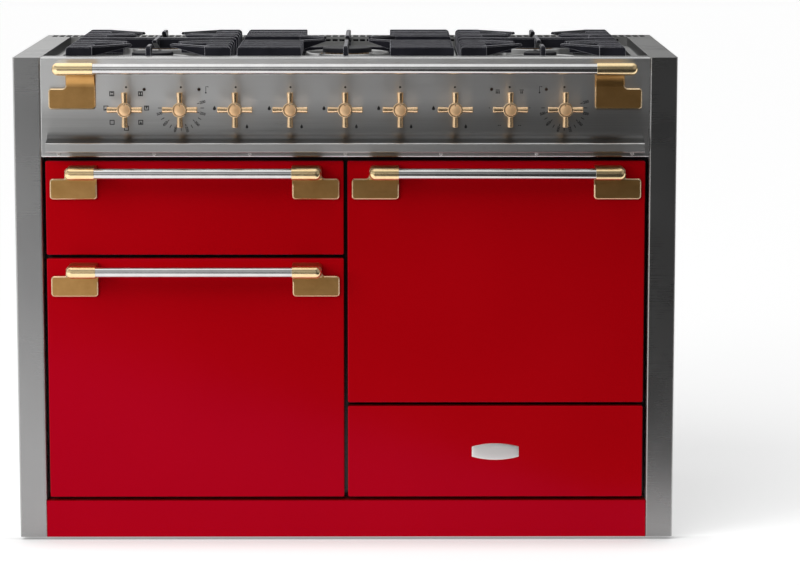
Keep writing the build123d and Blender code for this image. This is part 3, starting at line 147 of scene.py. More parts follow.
# Screws under the lip, in the rear panel and in the doors
SCREW_RADIUS = 3.6 * MM
SCREW_HEIGHT = 2.4 * MM
SCREW_SEAT = 0.2 * MM                # how deep the head sits in its sheet
SCREW_SIDES = 24
SCREW_CREASE = 35
SCREW_DOME = [(1.0, 0.35), (0.86, 0.78), (0.66, 1.0)]     # shares of the radius and the height
SCREW_SOCKET = 1.6 * MM
SOCKET_FLOOR = 0.25                  # share of the height
LIP_SCREWS = 7
LIP_SCREW_PITCH = 175 * MM
LIP_SCREW_UP = 6.3 * MM
REAR_SCREW_INSET = 12 * MM
REAR_SCREW_COLUMNS = 7
REAR_SCREW_ROWS = (0.25, 0.5, 0.75)  # shares of the panel's height, at its two ends
DOOR_SCREW_INSET = 16 * MM
DOOR_SCREW_ROWS = (0.12, 0.5, 0.94)
DOOR_PLATE = 2 * MM                  # back plate behind a door's skin

# Limits of the faces within a node that have a finish of their own
EDGE = 0.05 * MM          # play when faces are found by their place
SQUARE_ON = 0.999         # forward part of the direction of a face that counts as a flat front
DEPTH_DIGITS = 5          # flat fronts that agree to these digits count as one
LIP_FOLD = 1.5 * MM       # front half of the bend at the lip's upper edge
LIP_MIDDLE = 20 * MM      # a height within the lip's front, above the panel's foot
PAINTED_LIGHT_FADE = (PANEL_LOW + 70 * MM, PANEL_LOW + 108 * MM)     # where the panel's painted lighter tone fades in
END_ROUND = 1.6 * MM      # rounded upright ends of the panel
VENT_RIM = 0.5 * MM
WELL_HEIGHT = 4 * MM      # floor of the hob's wells, above the hob's underside
PLATE_BEVEL = 2 * MM
BAR_END = 55 * MM         # outer end of a handle to a place between its barrel's tip and its bar
HUB_FACE = 11 * MM        # radius of a knob's satin face
HUB_DEPTH = 2.2 * MM
PAN_GRID = 6 * MM         # height of the grid on the broiler pan
FOOT_PAD = 24 * MM        # radius of a levelling foot
FOOT_STUD = 7 * MM

# Pressed lands between the grates
LAND_GAP = 1.2 * MM       # to the grates on either side
LAND_INSET = 12.5 * MM    # from the edge of the hob top
LAND_SECTION = [          # share of the half width, and height above the hob's underside
    (1.0, 1.0 * MM),
    (1.0, 6.5 * MM),
    (0.86, 8.4 * MM),
    (0.55, 9.5 * MM),
]

# Blank badge plate on the drawer front
BADGE_HALF = (43.5 * MM, 15.5 * MM)
BADGE_END = 9.5 * MM
BADGE_STEPS = 24
BADGE_CREASE = 40
BADGE_LAYERS = [          # growth of its outline, and place in front of the drawer
    (0.0, 0.3 * MM),
    (0.0, -0.8 * MM),
    (-0.45 * MM, -1.25 * MM),
    (-1.4 * MM, -1.6 * MM),
    (-3.0 * MM, -1.85 * MM),
    (-6.0 * MM, -2.1 * MM),
    (-8.8 * MM, -2.2 * MM),
]

# Floor
FLOOR_REACH = 30.0
FLOOR_EDGE = 1.45         # how far in front of the origin the white floor ends
FLOOR_SLANT = 1.5
FLOOR_BEND = 0.50         # place across the front where its edge turns level
FLOOR_FADE = 0.22
FLOOR_WHITE = 0.72
FLOOR_GLOW = 0.50
FLOOR_FAR = 0.03
CONTACT_REACH = 0.12      # width of the soft shadow where the cooker's front meets the floor
CONTACT_DARK = 0.35
CONTACT_BACK = 0.03       # how far under the cooker it fades out

# Studio as metal sees it: brightness by the height of a ray's direction
STUDIO_LEFT = [(-1, 0.68), (0.02, 0.68), (0.50, 0.62), (0.58, 0.36), (0.80, 0.36), (0.88, 1.3)]
STUDIO_RIGHT = [
    (-1, 0.01), (0.02, 0.01), (0.16, 0.02), (0.24, 0.12), (0.50, 0.12), (0.58, 0.1), (0.80, 0.1), (0.88, 0.9),
]
STUDIO_SIDE = 0.30        # beyond the dark right
STUDIO_BACK_LEFT = [(-1, 1.0), (-0.02, 1.0), (0.02, 0.44), (0.2, 0.54), (0.5, 1.2), (1, 1.3)]
STUDIO_BACK_RIGHT = [(-1, 1.0), (-0.02, 1.0), (0.02, 0.08), (0.2, 0.09), (0.5, 0.35), (1, 1.1)]
AMBIENT = 0.38

# Parts of a ray's direction between which one side of the studio turns into the next
LEFT_TO_RIGHT = (-0.12, 0.085)
RIGHT_TO_SIDE = (0.28, 0.60)
FRONT_TO_BACK = (-0.15, 0.25)

# Lamps for matt surfaces, with their softness in degrees
KEY = {"towards": (-0.45, -0.60, 0.66), "strength": 1.25, "softness": 50}
FILL = {"towards": (0.55, -0.70, 0.45), "strength": 0.20, "softness": 60}
LEFT_BOX = {"place": (-2.6, -2.6, 1.6), "aim": (-0.3, -0.28, 0.4), "size": (1.6, 1.8), "power": 60}


def grey(level):
    """Neutral colour of a brightness."""
    return (level, level, level, 1)


class Nodes:
    """A node tree and short ways to add to it."""

    def __init__(self, tree):
        self.tree = tree

    def node(self, kind, inputs=None, **settings):
        """Adds a node, with its settings and with values or links for its inputs."""
        made = self.tree.nodes.new(kind)
        for key, value in settings.items():
            setattr(made, key, value)
        for key, value in (inputs or {}).items():
            if isinstance(value, bpy.types.NodeSocket):
                self.tree.links.new(value, made.inputs[key])
            else:
                made.inputs[key].default_value = value
        return made

    def maths(self, operation, first, second):
        """Result of two values."""
        return self.node("ShaderNodeMath", {0: first, 1: second}, operation=operation).outputs[0]

    def spread(self, value, low, high, start=0.3, end=0.7, **settings):
        """Maps a value from one range, by default that of noise, to another and holds it there."""
        inputs = {"Value": value, "From Min": start, "From Max": end, "To Min": low, "To Max": high}
        return self.node("ShaderNodeMapRange", inputs, **settings).outputs[0]

    def blend(self, factor, first, second):
        """Mixes two colours, each a value or a node output."""
        mixed = self.node("ShaderNodeMix", {0: factor, 6: first, 7: second}, data_type="RGBA")
        return mixed.outputs[2]

    def place(self):
        """Place of a point on the object."""
        return self.node("ShaderNodeTexCoord").outputs["Object"]

    def normal(self):
        """Direction that a surface faces."""
        return self.node("ShaderNodeNewGeometry").outputs["Normal"]

    def parts(self, vector):
        """X, Y and Z of a vector."""
        return self.node("ShaderNodeSeparateXYZ", {"Vector": vector}).outputs

    def seen_rays(self):
        """One for camera, glossy and transmission rays."""
        path = self.node("ShaderNodeLightPath").outputs
        total = path["Is Camera Ray"]
        for name in ("Is Glossy Ray", "Is Transmission Ray"):
            total = self.maths("MAXIMUM", total, path[name])
        return total


class Graph(Nodes):
    """A material, with values for the sockets of its shader."""

    def __init__(self, name, **sockets):
        self.material = bpy.data.materials.new(name)
        self.material.use_nodes = True
        super().__init__(self.material.node_tree)
        self.shader = self.tree.nodes["Principled BSDF"]
        for socket, value in sockets.items():
            self.shader.inputs[socket.replace("_", " ")].default_value = value

    def feed(self, socket, value):
        """Links a node output to an input of the shader."""
        self.tree.links.new(value, self.shader.inputs[socket])

    def noise(self, stretch, detail=2.0, rough=0.5):
        """Noise in object space, with a frequency for each axis in cycles per metre."""
        scaled = self.node("ShaderNodeMapping", {"Vector": self.place(), "Scale": stretch})
        inputs = {"Vector": scaled.outputs[0], "Scale": 1.0, "Detail": detail, "Roughness": rough}
        return self.node("ShaderNodeTexNoise", inputs).outputs["Fac"]

    def rounded(self, radius):
        """Normal with softened edges."""
        return self.node("ShaderNodeBevel", {"Radius": radius}, samples=6).outputs["Normal"]

    def edges(self, radius, sharpest=0.82):
        """One along sharp edges and zero on flat areas."""
        pair = {0: self.rounded(radius), 1: self.normal()}
        same = self.node("ShaderNodeVectorMath", pair, operation="DOT_PRODUCT").outputs["Value"]
        return self.spread(same, 1.0, 0.0, sharpest, 0.99)

    def bump(self, height, strength, distance, normal):
        """Adds a height as bump on a normal, for the shader."""
        inputs = {"Height": height, "Strength": strength, "Distance": distance, "Normal": normal}
        self.feed("Normal", self.node("ShaderNodeBump", inputs).outputs[0])

    def grain(self, direction):
        """Spreads highlights across the direction of the grain in brushed metal."""
        across = [0 if part else 1 for part in direction]
        self.feed("Tangent", self.node("ShaderNodeCombineXYZ", dict(zip("XYZ", across))).outputs[0])


def stretch_along(direction, fine, coarse):
    """Noise frequencies that are coarse along a direction and fine across it."""
    return tuple(coarse if part else fine for part in direction)


def brushed_metal(name, light, dark, direction, roughness, anisotropic, streak=0.05, upward=None, above=None):
    """Brushed metal with fine streaks along its grain, faint smudges and soft edges. Faces that
    turn upwards can take a painted shade, and the upper part of the control panel a painted lighter tone."""
    g = Graph(name, Metallic=1.0, Anisotropic=anisotropic)
    streaks = g.noise(stretch_along(direction, 1400, 5), detail=3.0)
    broad = g.noise(stretch_along(direction, 160, 1.5), detail=2.0)
    smudge = g.noise((6, 6, 6), detail=3.0)
    colour = g.blend(g.spread(streaks, 0, 1), dark, light)
    colour = g.blend(g.spread(broad, 0.0, 0.35), colour, dark)
    # painted shade: faces that turn upwards darken towards the shade colour
    if upward:
        rise = g.parts(g.normal())["Z"]
        colour = g.blend(g.spread(rise, 0, 1, 0.0, 0.5), colour, upward)
    # painted light: the control panel turns lighter towards its top
    if above:
        height = g.parts(g.place())["Z"]
        colour = g.blend(g.spread(height, 0, 0.8, *PAINTED_LIGHT_FADE), colour, above)
    g.feed("Base Color", colour)
    swing = g.spread(streaks, roughness - streak, roughness + streak)
    g.feed("Roughness", g.maths("ADD", swing, g.spread(smudge, -0.02, 0.04)))
    g.grain(direction)
    g.bump(streaks, 2.4 * streak, 0.05 * MM, g.rounded(0.8 * MM))
    return g.material


def polished_metal(name, light, dark, roughness, direction=ALONG_X):
    """Bright turned or drawn metal with faint drawing lines and fingerprints."""
    g = Graph(name, Metallic=1.0)
    lines = g.noise(stretch_along(direction, 900, 4), detail=2.0)
    prints = g.noise((35, 35, 35), detail=4.0)
    g.feed("Base Color", g.blend(g.spread(prints, 0, 1), dark, light))
    g.feed("Roughness", g.spread(lines, roughness * 0.7, roughness * 1.4))
    g.bump(lines, 0.05, 0.03 * MM, g.rounded(0.4 * MM))
    return g.material


def enamel(name, colour, deep, roughness, specular, tint=(1, 1, 1, 1), peel=0.08):
    """Fired enamel: a deep even colour under a smooth coat with a slight ripple."""
    g = Graph(name, Specular_IOR_Level=specular, Specular_Tint=tint)
    wide = g.noise((2.2, 2.2, 2.2), detail=2.0)
    ripple = g.noise((140, 140, 140), detail=1.0)
    dust = g.noise((900, 900, 900), detail=1.0)
    base = g.blend(g.spread(wide, 0, 1), deep, colour)
    g.feed("Base Color", g.blend(g.edges(1.2 * MM), base, deep))
    g.feed("Roughness", g.spread(dust, roughness * 0.85, roughness * 1.15))
    g.bump(ripple, peel, 0.15 * MM, g.rounded(0.8 * MM))
    return g.material


def brass(name, light, dark, rubbed_and_highlight, roughness, direction, fine):
    """Satin brass with a fine grain, random warmer patches, and bright edges that are rubbed and partly a
    painted highlight.
    """
    g = Graph(name, Metallic=1.0, Anisotropic=0.45)
    grain = g.noise(stretch_along(direction, fine, 8), detail=3.0)
    tarnish = g.noise((28, 28, 28), detail=4.0, rough=0.6)
    colour = g.blend(g.spread(tarnish, 0, 1), dark, light)
    # bright edges: rubbed wear, and a painted highlight
    g.feed("Base Color", g.blend(g.edges(1.0 * MM), colour, rubbed_and_highlight))
    g.feed("Roughness", g.spread(grain, roughness - 0.06, roughness + 0.06))
    g.grain(direction)
    g.bump(grain, 0.10, 0.05 * MM, g.rounded(0.6 * MM))
    return g.material


def cast_iron(name, dark, light, metallic, specular):
    """Black enamelled iron with the pebbled skin of a casting, and grey edges that are rubbed and partly a
    painted highlight.
    """
    g = Graph(name, Metallic=metallic, Specular_IOR_Level=specular)
    skin = g.noise((420, 420, 420), detail=3.0, rough=0.6)
    patches = g.noise((30, 30, 30), detail=2.0)
    base = g.blend(g.spread(patches, 0, 1), dark, light)
    # grey edges: rubbed wear, and a painted highlight along them
    g.feed("Base Color", g.blend(g.edges(1.0 * MM, 0.93), base, (0.50, 0.50, 0.54, 1)))
    g.feed("Roughness", g.spread(skin, 0.28, 0.48))
    g.bump(skin, 0.22, 0.2 * MM, g.rounded(0.8 * MM))
    return g.material


def plain_coat(name, light, dark, roughness, grain, metallic=0.0, bump=0.15):
    """Mottled coat for small pieces, and those inside and behind: paint, plating, plastic or rubber."""
    g = Graph(name, Metallic=metallic)
    mottle = g.noise((40, 40, 40), detail=3.0)
    fine = g.noise((grain, grain, grain), detail=2.0)
    g.feed("Base Color", g.blend(g.spread(mottle, 0, 1), dark, light))
    g.feed("Roughness", g.spread(fine, roughness - 0.07, roughness + 0.07))
    g.bump(fine, bump, 0.1 * MM, g.rounded(0.5 * MM))
    return g.material


def galvanised(name):
    """Zinc-coated sheet with its crystal spangle."""
    g = Graph(name, Metallic=1.0)
    spangle = g.node("ShaderNodeTexVoronoi", {"Vector": g.place(), "Scale": 70.0}).outputs["Color"]
    shade = g.node("ShaderNodeSeparateColor", {"Color": spangle}).outputs[0]
    g.feed("Base Color", g.blend(shade, (0.40, 0.41, 0.42, 1), (0.58, 0.59, 0.60, 1)))
    g.feed("Roughness", g.spread(shade, 0.34, 0.5, 0.0, 1.0))
    g.bump(g.noise((300, 300, 300)), 0.05, 0.05 * MM, g.rounded(0.5 * MM))
    return g.material


def lens(name, dark, light):
    """Smoked indicator lens."""
    g = Graph(name, Roughness=0.12)
    depth = g.noise((700, 700, 700), detail=1.0)
    g.feed("Base Color", g.blend(g.spread(depth, 0, 1), dark, light))
    g.bump(depth, 0.03, 0.05 * MM, g.rounded(0.5 * MM))
    return g.material


STEEL_LIGHT = (0.55, 0.55, 0.545, 1)
STEEL_DARK = (0.45, 0.45, 0.445, 1)
# darker steel: painted shade on the pilasters and in the hob's wells
STEEL_PAINTED_DARK = grey(0.36)
# painted shade in the scoop above the lip
STEEL_SHADE = grey(0.17)
# painted light on the upper part of the control panel
STEEL_PAINTED_LIGHT = (0.80, 0.80, 0.795, 1)
RED = (0.385, 0.0012, 0.0042, 1)
RED_DEEP = (0.350, 0.0006, 0.0030, 1)
RED_SHEEN = (1, 0.03, 0.38, 1)

FINISHES = [
    brushed_metal("panel_steel", STEEL_LIGHT, STEEL_DARK, ALONG_X, 0.335, 0.89),
    brushed_metal("side_steel", STEEL_LIGHT, STEEL_DARK, ALONG_Z, 0.34, 0.80),
    # pilasters: painted shade in a darker copy of the steel
    brushed_metal("pilaster_painted_shade_steel", STEEL_PAINTED_DARK, STEEL_PAINTED_DARK, ALONG_X, 0.26, 0.80, streak=0.01),
    # scoop: painted shade where its faces turn upwards
    brushed_metal("scoop_painted_shade_steel", STEEL_LIGHT, STEEL_DARK, ALONG_X, 0.335, 0.89, upward=STEEL_SHADE),
    # control panel front: painted light on its upper part
    brushed_metal("control_painted_light_steel", STEEL_LIGHT, STEEL_DARK, ALONG_X, 0.335, 0.89, above=STEEL_PAINTED_LIGHT),
    # lip front: rougher steel, with a lighter base that paints light on it
    brushed_metal("lip_painted_light_steel", STEEL_LIGHT, STEEL_LIGHT, ALONG_X, 0.45, 0.89),
    brushed_metal("hob_steel", STEEL_LIGHT, STEEL_DARK, ALONG_X, 0.30, 0.60),
    # hob wells: smoother steel, and a darker base that paints shade under the grates
    brushed_metal("well_painted_shade_steel", STEEL_DARK, STEEL_PAINTED_DARK, ALONG_X, 0.10, 0.0),
    brushed_metal("badge", (0.92, 0.92, 0.91, 1), (0.86, 0.86, 0.85, 1), ALONG_X, 0.40, 0.85),
    # folds and panel ends: real polish, and a lighter base that paints their highlight
    polished_metal("fold_highlight_steel", (0.80, 0.80, 0.79, 1), grey(0.70), 0.30),
    polished_metal("bar_steel", (0.74, 0.74, 0.73, 1), grey(0.66), 0.13),
    polished_metal("wire", (0.72, 0.72, 0.71, 1), grey(0.60), 0.16, ALONG_Y),
    enamel("red", RED, RED_DEEP, 0.16, 0.25, RED_SHEEN, 0.035),
    enamel("black", (0.012, 0.012, 0.013, 1), (0.006, 0.006, 0.007, 1), 0.22, 0.45),
    enamel("cap", (0.020, 0.020, 0.024, 1), (0.012, 0.012, 0.015, 1), 0.36, 0.16),
    brass("brass_plate", (0.68, 0.385, 0.14, 1), (0.57, 0.31, 0.10, 1), (0.95, 0.74, 0.46, 1),
          0.34, ALONG_X, 1300),
    # plate bevels: lighter brass that paints their highlight
    brass("brass_bevel_highlight", (1.0, 0.80, 0.52, 1), (0.93, 0.70, 0.42, 1), (1.0, 0.86, 0.60, 1),
          0.28, ALONG_X, 900),
    brass("brass_barrel", (1.0, 0.80, 0.47, 1), (0.95, 0.70, 0.38, 1), (1.0, 0.86, 0.60, 1),
          0.22, ALONG_X, 900),
    brass("brass_knob", (1.0, 0.74, 0.46, 1), (0.92, 0.63, 0.36, 1), (1.0, 0.88, 0.68, 1),
          0.26, ALONG_Y, 3000),
    cast_iron("iron", (0.006, 0.006, 0.009, 1), (0.013, 0.013, 0.018, 1), 0.0, 0.20),
    # rib tops: lighter rubbed iron, partly a painted highlight
    cast_iron("rubbed_highlight_iron", (0.24, 0.24, 0.26, 1), (0.40, 0.40, 0.43, 1), 0.7, 0.45),
    galvanised("zinc"),
    lens("lens", (0.022, 0.013, 0.010, 1), (0.040, 0.022, 0.016, 1)),
    plain_coat("brass_face", (0.94, 0.63, 0.36, 1), (0.80, 0.50, 0.26, 1), 0.36, 900, 0.60, 0.05),
    plain_coat("burner_alloy", (0.50, 0.34, 0.20, 1), (0.34, 0.22, 0.13, 1), 0.42, 400, 1.0),
    plain_coat("valve_brass", (0.62, 0.44, 0.20, 1), (0.48, 0.33, 0.14, 1), 0.38, 300, 1.0),
    plain_coat("plastic", (0.034, 0.034, 0.035, 1), (0.022, 0.022, 0.023, 1), 0.52, 700),
    plain_coat("rubber", (0.030, 0.029, 0.028, 1), (0.018, 0.018, 0.018, 1), 0.72, 500),
    plain_coat("paint", (0.060, 0.061, 0.063, 1), (0.042, 0.043, 0.045, 1), 0.45, 350),
    plain_coat("sheath", (0.16, 0.145, 0.13, 1), (0.09, 0.082, 0.075, 1), 0.40, 400, 1.0),
    plain_coat("fan_steel", (0.52, 0.51, 0.49, 1), (0.40, 0.39, 0.37, 1), 0.36, 300, 1.0),
    plain_coat("ink", (0.012, 0.012, 0.014, 1), (0.007, 0.007, 0.008, 1), 0.55, 900, bump=0.05),
    # near-white, half-matt screws: bright plating, and painted glints in place of reflections
    plain_coat("screw", (0.95, 0.95, 0.94, 1), (0.88, 0.88, 0.87, 1), 0.28, 500, 0.30, 0.05),
]
# A name that the frame uses too has a dot and a number behind it
FINISH = {made.name.partition(".")[0]: made for made in FINISHES}

NODE_FINISH = {
    "panel_steel": ["control_panel", "side_panel_left", "side_panel_right", "hob_top", "rear_vent_trim"],
    "bar_steel": ["handrail_bar"],
    "red": ["kick_panel", "broiler_front", "left_door_skin", "right_door_skin", "drawer_front"],
    "black": ["front_frame", "left_oven_liner", "right_oven_liner", "broiler_liner",
              "left_door_inner", "right_door_inner", "fan_covers", "broiler_pan"],
    "brass_plate": ["handrail_brackets", "broiler_handle", "left_door_handle", "right_door_handle"],
    "brass_knob": [f"knob_{number}" for number in KNOBS],
    "cap": ["burner_caps"],
    "iron": ["grate_left", "grate_centre", "grate_right"],
    "zinc": ["chassis", "rear_panel", "terminal_box", "drawer_housing", "hinge_brackets", "drawer_runners",
             "broiler_carriage", "drawer_box"],
    "burner_alloy": ["burner_heads"],
    "valve_brass": ["gas_pipework"] + [f"tap_cone_{number}" for number in TAPS],
    "plastic": ["oven_switches", "levelling_feet"],
    "rubber": ["oven_seals"],
    "paint": ["fan_motors"],
    "sheath": ["heating_elements"],
    "wire": ["oven_racks"],
    "fan_steel": ["left_fan", "right_fan"],
    "lens": ["indicator_lamps"],
}


def dress(node, finish):
    """Gives a CAD node one finish."""
    slots = frame["nodes"][node].data.materials
    slots.clear()
    slots.append(FINISH[finish])


def dress_part(node, finish, within, reaches=None):
    """Gives another finish to the faces whose points are all within a region and, where that is
    asked for, of which one point at least reaches another region."""
    mesh = frame["nodes"][node].data
    mesh.materials.append(FINISH[finish])
    index = len(mesh.materials) - 1
    for face in mesh.polygons:
        points = [mesh.vertices[i].co for i in face.vertices]
        if all(map(within, points)) and (reaches is None or any(map(reaches, points))):
            face.material_index = index


def turn_grain(node):
    """Runs the grain of a sheet along X on its front and top, and along Z on its sides."""
    mesh = frame["nodes"][node].data
    mesh.materials.append(FINISH["side_steel"])
    mesh.materials.append(FINISH["hob_steel"])
    index_by_axis = (1, 0, 2)        # side, front and top
    for face in mesh.polygons:
        size = [abs(part) for part in face.normal]
        face.material_index = index_by_axis[size.index(max(size))]


def largest_front(node):
    """Depth of the largest flat front of a node."""
    areas = {}
    for face in frame["nodes"][node].data.polygons:
        if face.normal.y < -SQUARE_ON:
            depth = round(face.center.y, DEPTH_DIGITS)
            areas[depth] = areas.get(depth, 0) + face.area
    return max(areas, key=areas.get)


def finish_pilasters():
    """Fronts of the side panels, in a darker steel that paints their shade."""
    for side in ("left", "right"):
        dress_part(f"side_panel_{side}", "pilaster_painted_shade_steel", lambda p: p.y < Y_FRONT + EDGE)


def finish_control_panel():
    """Flat front with a painted lighter upper part, lip in a lighter steel that paints light, scoop above the
    lip with painted shade, and the polished upper fold and ends in a lighter steel that paints their
    highlight.
    """
    low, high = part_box("control_panel")
    fold = low.y + LIP_FOLD
    middle = PANEL_LOW + LIP_MIDDLE
    end = high.x - END_ROUND
    # the flat front takes the painted lighter tone on its upper part
    dress_part("control_panel", "control_painted_light_steel", lambda p: abs(p.y - Y_FRONT) < EDGE)
    # the lip's front takes the lighter steel that paints light
    dress_part("control_panel", "lip_painted_light_steel", lambda p: p.y < low.y + EDGE)
    # the scoop's faces take the painted shade
    dress_part("control_panel", "scoop_painted_shade_steel",
               lambda p: fold - EDGE < p.y < Y_FRONT + EDGE and p.z > middle,
               lambda p: p.y < Y_FRONT - EDGE)
    # the upper fold and the ends take the painted highlight
    dress_part("control_panel", "fold_highlight_steel",
               lambda p: p.y < fold + EDGE and p.z > middle,
               lambda p: p.y > low.y + EDGE)
    dress_part("control_panel", "fold_highlight_steel", lambda p: abs(p.x) > end - EDGE)


def finish_hob():
    """Slots of the vent trim in black that paints their shade, and polished wells of the hob in a darker
    steel that paints part of the shade under the grates.
    """
    low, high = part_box("rear_vent_trim")
    # painted shade: the slot walls inside the vent trim take black enamel
    dress_part("rear_vent_trim", "black", lambda p: (
        low.x + VENT_RIM < p.x < high.x - VENT_RIM
        and low.y + VENT_RIM < p.y < high.y - VENT_RIM
        and p.z < high.z - VENT_RIM))
    well_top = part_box("hob_top")[0].z + WELL_HEIGHT
    # the wells take the darker steel that paints shade
    dress_part("hob_top", "well_painted_shade_steel", lambda p: p.z < well_top)


def finish_handle(node):
    """Bevels of the brass plates in a lighter brass that paints their highlight, barrels, and the steel bar
    that some nodes hold.
    """
    rail_low, rail_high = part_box("handrail_bar")
    bar_radius = (rail_high.z - rail_low.z) / 2
    bar_y = (rail_low.y + rail_high.y) / 2
    low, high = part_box(node)
    barrel = bar_y - low.y
    axis_z = high.z - barrel
    plate = largest_front(node)

    def off_axis(p):
        return math.hypot(p.y - bar_y, p.z - axis_z)

    # the bevels take the lighter brass of the painted highlight
    dress_part(node, "brass_bevel_highlight",
               lambda p: plate - EDGE < p.y < plate + PLATE_BEVEL + EDGE,
               lambda p: p.y > plate + EDGE)
    dress_part(node, "brass_barrel", lambda p: off_axis(p) < barrel + 2 * EDGE)
    if node != "handrail_brackets":
        dress_part(node, "bar_steel", lambda p: (
            off_axis(p) < bar_radius + EDGE and low.x + BAR_END < p.x < high.x - BAR_END))


def finish_knob(node):
    """Satin face of a knob's hub."""
    low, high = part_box(node)
    axis = (low + high) / 2
    dress_part(node, "brass_face", lambda p: (
        p.y < low.y + HUB_DEPTH and math.hypot(p.x - axis.x, p.z - axis.z) < HUB_FACE))


def finish_grate(node):
    """Tops of a grate's ribs in a lighter iron: rubbed, and a painted highlight along the crests."""
    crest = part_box(node)[1].z - EDGE
    dress_part(node, "rubbed_highlight_iron", lambda p: p.z > crest)


def finish_broiler_pan():
    """Wire grid on the pan."""
    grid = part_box("broiler_pan")[1].z - PAN_GRID
    dress_part("broiler_pan", "wire", lambda p: p.z > grid)


def finish_feet():
    """Studs of the four feet, which stand in the corners of their node's box."""
    low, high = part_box("levelling_feet")
    columns = (low.x + FOOT_PAD, high.x - FOOT_PAD)
    rows = (low.y + FOOT_PAD, high.y - FOOT_PAD)
    middles = [Vector((x, y)) for x in columns for y in rows]
    # the feet's studs take the screw finish with its painted glints
    dress_part("levelling_feet", "screw", lambda p: min((p.xy - m).length for m in middles) < FOOT_STUD)


def finish_nodes():
    """All CAD nodes, and the faces within a node that have another finish."""
    for finish, names in NODE_FINISH.items():
        for node in names:
            dress(node, finish)
    for node in NODE_FINISH["panel_steel"]:
        turn_grain(node)
    finish_pilasters()
    finish_control_panel()
    finish_hob()
    for node in NODE_FINISH["brass_plate"]:
        finish_handle(node)
    for node in NODE_FINISH["brass_knob"]:
        finish_knob(node)
    for node in NODE_FINISH["iron"]:
        finish_grate(node)
    finish_broiler_pan()
    finish_feet()


def new_piece(name, mesh_builder, finish, body):
    """Makes a mesh object from a builder, with its finish, body and material slot."""
    mesh = bpy.data.meshes.new(name)
    bm = bmesh.new()
    mesh_builder(bm)
    bmesh.ops.recalc_face_normals(bm, faces=bm.faces)
    bm.to_mesh(mesh)
    bm.free()
    mesh.materials.append(FINISH[finish])
    piece = bpy.data.objects.new(name, mesh)
    bpy.context.scene.collection.objects.link(piece)
    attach(piece, body)
    return piece


def smooth(piece, crease):
    """Smooth shading, with creases at edges that turn by more than an angle in degrees."""
    for face in piece.data.polygons:
        face.use_smooth = True
    piece.data.set_sharp_from_angle(angle=math.radians(crease))


def skin(bm, rings):
    """Joins rings of points into one closed surface."""
    bm.faces.new(list(reversed(rings[0])))
    for lower, upper in zip(rings, rings[1:]):
        count = len(lower)
        for i in range(count):
            j = (i + 1) % count
            bm.faces.new((lower[i], lower[j], upper[j], upper[i]))
    bm.faces.new(rings[-1])


def prism(bm, points, near, far):
    """Adds a solid with a flat outline in X and Z between two depths."""
    skin(bm, [[bm.verts.new((x, y, z)) for x, z in points] for y in (near, far)])


def ink(bm, points):
    """Adds a printed patch on the face of the control panel."""
    prism(bm, points, Y_FRONT - INK_PROUD, Y_FRONT + INK_PROUD * INK_STEP)


def polar(centre, radius, clockwise):
    """Point at a radius and an angle clockwise from the top."""
    turn = math.radians(clockwise)
    return (centre[0] + radius * math.sin(turn), centre[1] + radius * math.cos(turn))


def stroke(start, end, width):
    """Corners of a straight stroke."""
    first, last = Vector(start), Vector(end)
    along = (last - first).normalized()
    side = Vector((-along.y, along.x)) * width / 2
    return [tuple(p) for p in (first + side, first - side, last - side, last + side)]


def disc(centre, radius):
    """Corners of a round dot."""
    return [polar(centre, radius, 360 * i / DISC_SIDES) for i in range(DISC_SIDES)]


def flame(centre, size):
    """Teardrop with its point upwards."""
    points = []
    for i in range(FLAME_POINTS):
        turn = 2 * math.pi * i / FLAME_POINTS
        width = FLAME_SCALE * math.sin(turn) * math.sin(turn / 2) ** FLAME_POWER
        points.append((centre[0] + size[0] * width, centre[1] + size[1] / 2 * math.cos(turn)))
    return points


def square(centre):
    """Four strokes of an oven sign's frame, each set back to close its corner."""
    half = ICON_SIZE / 2
    corners = [(-half, -half), (half, -half), (half, half), (-half, half)]
    places = [Vector((centre[0] + x, centre[1] + z)) for x, z in corners]
    strokes = []
    for i, start in enumerate(places):
        end = places[(i + 1) % len(places)]
        shift = (end - start).normalized() * ICON_LINE / 2
        strokes.append(stroke(start - shift, end - shift, ICON_LINE))
    return strokes


def oven_sign(bm, centre, upper, lower, cross):
    """Oven function sign: a square with an upper line, a lower line and a fan cross."""
    for side in square(centre):
        ink(bm, side)
    for wanted, height in ((upper, ICON_REACH), (lower, -ICON_REACH)):
        if wanted:
            z = centre[1] + height
            ink(bm, stroke((centre[0] - ICON_REACH, z), (centre[0] + ICON_REACH, z), ICON_LINE))
    if cross:
        for turn in ICON_ARM_TURNS:
            ends = [polar(centre, ICON_ARM, turn + half_turn) for half_turn in (0, 180)]
            ink(bm, stroke(*ends, ICON_LINE))


def number_mesh(bm, text, centre, clockwise):
    """Adds a plain number that reads along the radius, upright on either half of the dial."""
    curve = bpy.data.curves.new("number", "FONT")
    curve.body = text
    curve.size = NUMBER_FONT
    curve.align_x = "CENTER"
    curve.align_y = "CENTER"
    curve.resolution_u = 2
    curve.offset = NUMBER_BOLD
    curve.extrude = INK_PROUD / 2
    holder = bpy.data.objects.new("number", curve)
    mesh = bpy.data.meshes.new_from_object(holder)
    turn = math.radians(90 - clockwise if clockwise < 180 else 270 - clockwise)
    start = len(bm.verts)
    bm.from_mesh(mesh)
    bm.verts.ensure_lookup_table()
    for vertex in bm.verts[start:]:
        x, z, depth = vertex.co
        vertex.co = (
            centre[0] + x * math.cos(turn) - z * math.sin(turn),
            Y_FRONT - INK_PROUD / 2 - depth,
            centre[1] + x * math.sin(turn) + z * math.cos(turn),
        )
    bpy.data.objects.remove(holder)
    bpy.data.curves.remove(curve)
    bpy.data.meshes.remove(mesh)


